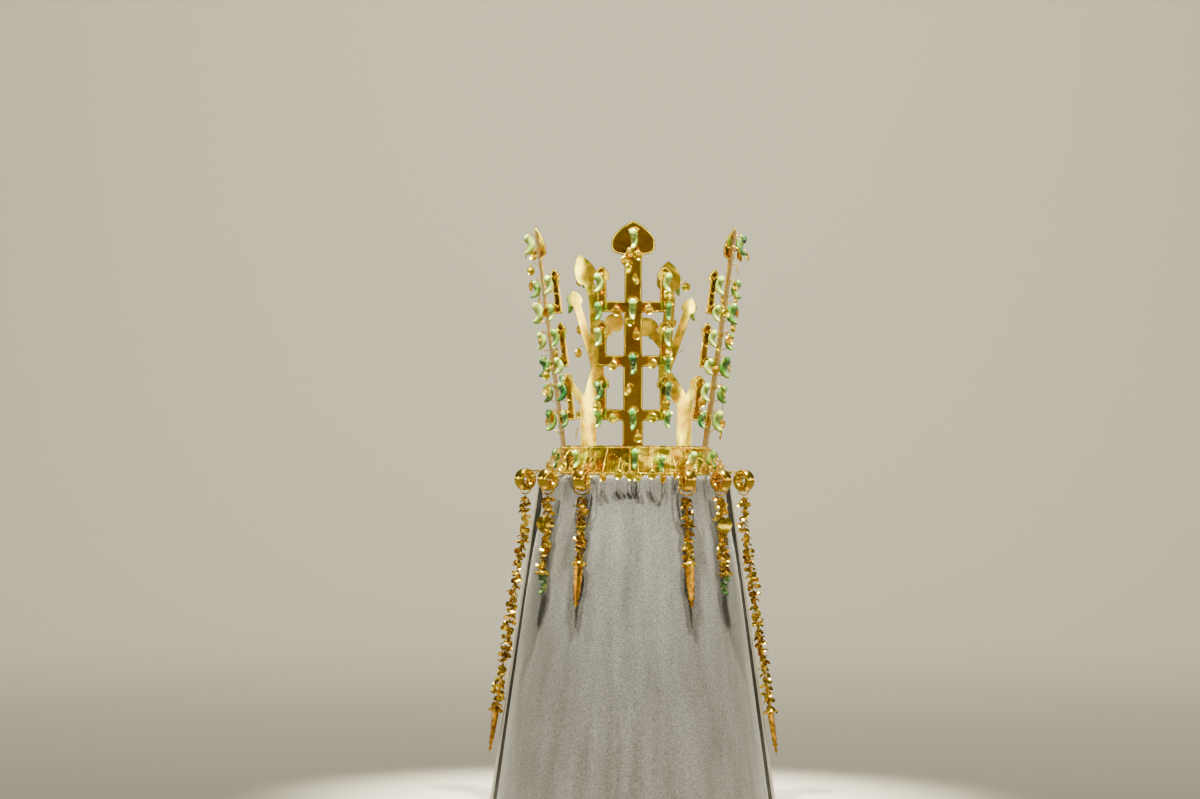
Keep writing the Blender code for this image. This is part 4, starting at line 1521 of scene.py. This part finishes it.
class CROWN_OT_stage(bpy.types.Operator):
    """Sets the floor, the lights and the camera"""

    bl_idname = "crown.set_stage"
    bl_label = "Set the stage"

    def execute(self, context):
        scene = context.scene
        stage = scene.crown_stage
        # The floor runs up into a wall well behind the crown, with no corner
        quarter = [math.radians(90 * i / 24) for i in range(25)]
        bend = [(4.0 + math.sin(a) * 2.5, 2.5 - math.cos(a) * 2.5) for a in quarter]
        bm = bmesh.new()
        rows = [[bm.verts.new((x, y, z)) for x in (-5.0, 5.0)] for y, z in ((-5.0, 0.0), *bend, (6.5, 3.6))]
        for low, high in zip(rows, rows[1:]):
            bm.faces.new((*low, *reversed(high)))
        mesh = bpy.data.meshes.new("floor")
        bm.to_mesh(mesh)
        bm.free()
        mesh.polygons.foreach_set("use_smooth", [True] * len(mesh.polygons))
        mesh.materials.append(get_material("painted_floor"))
        floor = bpy.data.objects.new("floor", mesh)
        scene.collection.objects.link(floor)
        floor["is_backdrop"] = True

        world = bpy.data.worlds.new("studio")
        scene.world = world
        world.use_nodes = True
        tree = world.node_tree
        sky = tree.nodes["Background"]
        place = add_node(tree, "ShaderNodeTexCoord").outputs["Generated"]
        height = add_node(tree, "ShaderNodeSeparateXYZ", {"Vector": place}).outputs["Z"]
        # A dim room, so that the gold has something dark to reflect
        room = add_node(
            tree,
            "ShaderNodeValToRGB",
            {"Fac": height},
            stops=[(0.0, linear("#0F0E0D")), (0.5, linear("#2C2B28")), (0.9, linear("#3A3834"))],
        )
        # Lit openings stand in a row round its walls, just above the crown
        row = add_node(
            tree,
            "ShaderNodeValToRGB",
            {"Fac": height},
            stops=[(0.02, grey(0.0)), (0.06, grey(1.0)), (0.18, grey(1.0)), (0.25, grey(0.0))],
        )
        gaps = add_node(tree, "ShaderNodeTexNoise", {"Vector": place, "Scale": 2.6, "Detail": 1.0})
        opening = add_node(
            tree,
            "ShaderNodeMapRange",
            {"Value": gaps.outputs["Fac"], "From Min": 0.41, "From Max": 0.53, "To Min": 0.05, "To Max": 1.0},
        )
        lit = add_node(
            tree,
            "ShaderNodeMath",
            {0: row.outputs["Color"], 1: opening.outputs["Result"]},
            operation="MULTIPLY",
        )
        walls = add_node(
            tree,
            "ShaderNodeMix",
            {"Factor": lit.outputs["Value"], "A": room.outputs["Color"], "B": linear("#FFF2C4")},
            data_type="RGBA",
        )
        tree.links.new(walls.outputs["Result"], sky.inputs["Color"])
        sky.inputs["Strength"].default_value = 3.4

        crown = Vector((0, -0.02, 0.3))
        antlers = Vector((0, 0.05, 0.54))
        lights = (
            # name, place, target, width and height, power, spread in degrees
            ("spot_left", (-0.2, -0.66, 2.4), crown, (0.08, 0.08), stage.spots, 18),
            ("spot_right", (0.2, -0.66, 2.4), crown, (0.08, 0.08), stage.spots, 18),
            ("box_left", (-1.5, -0.35, 0.95), antlers, (1.3, 0.5), stage.sides, 24),
            ("box_right", (1.5, -0.35, 0.95), antlers, (1.3, 0.5), stage.sides, 24),
            ("ceiling", (0.0, 0.0, 3.6), Vector((0, 0.001, 0)), (3.4, 3.4), stage.ceiling, 180),
            ("wall_wash", (0.0, 3.0, 4.2), Vector((0, 6.0, 0.6)), (4.0, 0.5), stage.wall, 180),
        )
        for name, spot, target, size, power, spread in lights:
            data = bpy.data.lights.new(name, "AREA")
            data.shape = "RECTANGLE"
            data.size, data.size_y = size
            data.energy = power
            data.spread = math.radians(spread)
            data.color = linear("#FFF8D6")[:3]
            lamp = bpy.data.objects.new(name, data)
            scene.collection.objects.link(lamp)
            lamp.matrix_world = facing(Vector(spot), Vector(spot) - target)

        camera = bpy.data.cameras.new("camera")
        camera.lens = stage.lens
        camera.sensor_width = SENSOR
        viewer = bpy.data.objects.new("camera", camera)
        scene.collection.objects.link(viewer)
        # Level with the band's lower edge, aimed a little up and to the left, as in the photograph
        pixels = stage.lens / SENSOR * IMAGE[0]
        pitch = math.atan((BAND_IN_IMAGE[1] - IMAGE[1] / 2) / pixels)
        yaw = math.atan((BAND_IN_IMAGE[0] - IMAGE[0] / 2) / pixels)
        viewer.matrix_world = (
            Matrix.Translation((0, -stage.distance, BAND_BOTTOM))
            @ Matrix.Rotation(yaw, 4, "Z")
            @ Matrix.Rotation(math.pi / 2 + pitch, 4, "X")
            @ Matrix.Rotation(math.radians(IMAGE_TILT), 4, "Z")
        )
        scene.camera = viewer
        return {"FINISHED"}


class CROWN_PT_dressing(bpy.types.Panel):
    """Lists the steps and their sizes and colours."""

    bl_label = "Crown dressing"
    bl_idname = "CROWN_PT_dressing"
    bl_space_type = "VIEW_3D"
    bl_region_type = "UI"
    bl_category = "Crown"

    def draw(self, context):
        for group in (getattr(context.scene, name) for name in SETTINGS):
            box = self.layout.box()
            for name in group.__annotations__:
                box.prop(group, name)
        for step in STEPS:
            self.layout.operator(step.bl_idname)


SETTINGS = {
    "crown_sizes": CrownSizes,
    "crown_gold": GoldColours,
    "crown_jade": JadeColours,
    "crown_cloth": StandCloth,
    "crown_stage": Stage,
}
STEPS = (
    CROWN_OT_stand,
    CROWN_OT_band,
    CROWN_OT_uprights,
    CROWN_OT_jades,
    CROWN_OT_spangles,
    CROWN_OT_pendants,
    CROWN_OT_stage,
)


def register():
    for each in (*SETTINGS.values(), *STEPS, CROWN_PT_dressing):
        bpy.utils.register_class(each)
    for name, group in SETTINGS.items():
        setattr(bpy.types.Scene, name, PointerProperty(type=group))


def unregister():
    for name in SETTINGS:
        delattr(bpy.types.Scene, name)
    for each in reversed((*SETTINGS.values(), *STEPS, CROWN_PT_dressing)):
        bpy.utils.unregister_class(each)


def main():
    register()
    bpy.ops.crown.cover_stand()
    bpy.ops.crown.dress_band()
    bpy.ops.crown.dress_uprights()
    bpy.ops.crown.hang_jades()
    bpy.ops.crown.hang_spangles()
    bpy.ops.crown.dress_pendants()
    bpy.ops.crown.set_stage()
    boxes = {"cad": cad_box, "visual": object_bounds()}
    {name: [list(map(float, end)) for end in box] for name, box in boxes.items()}


if __name__ == "__main__":
    main()
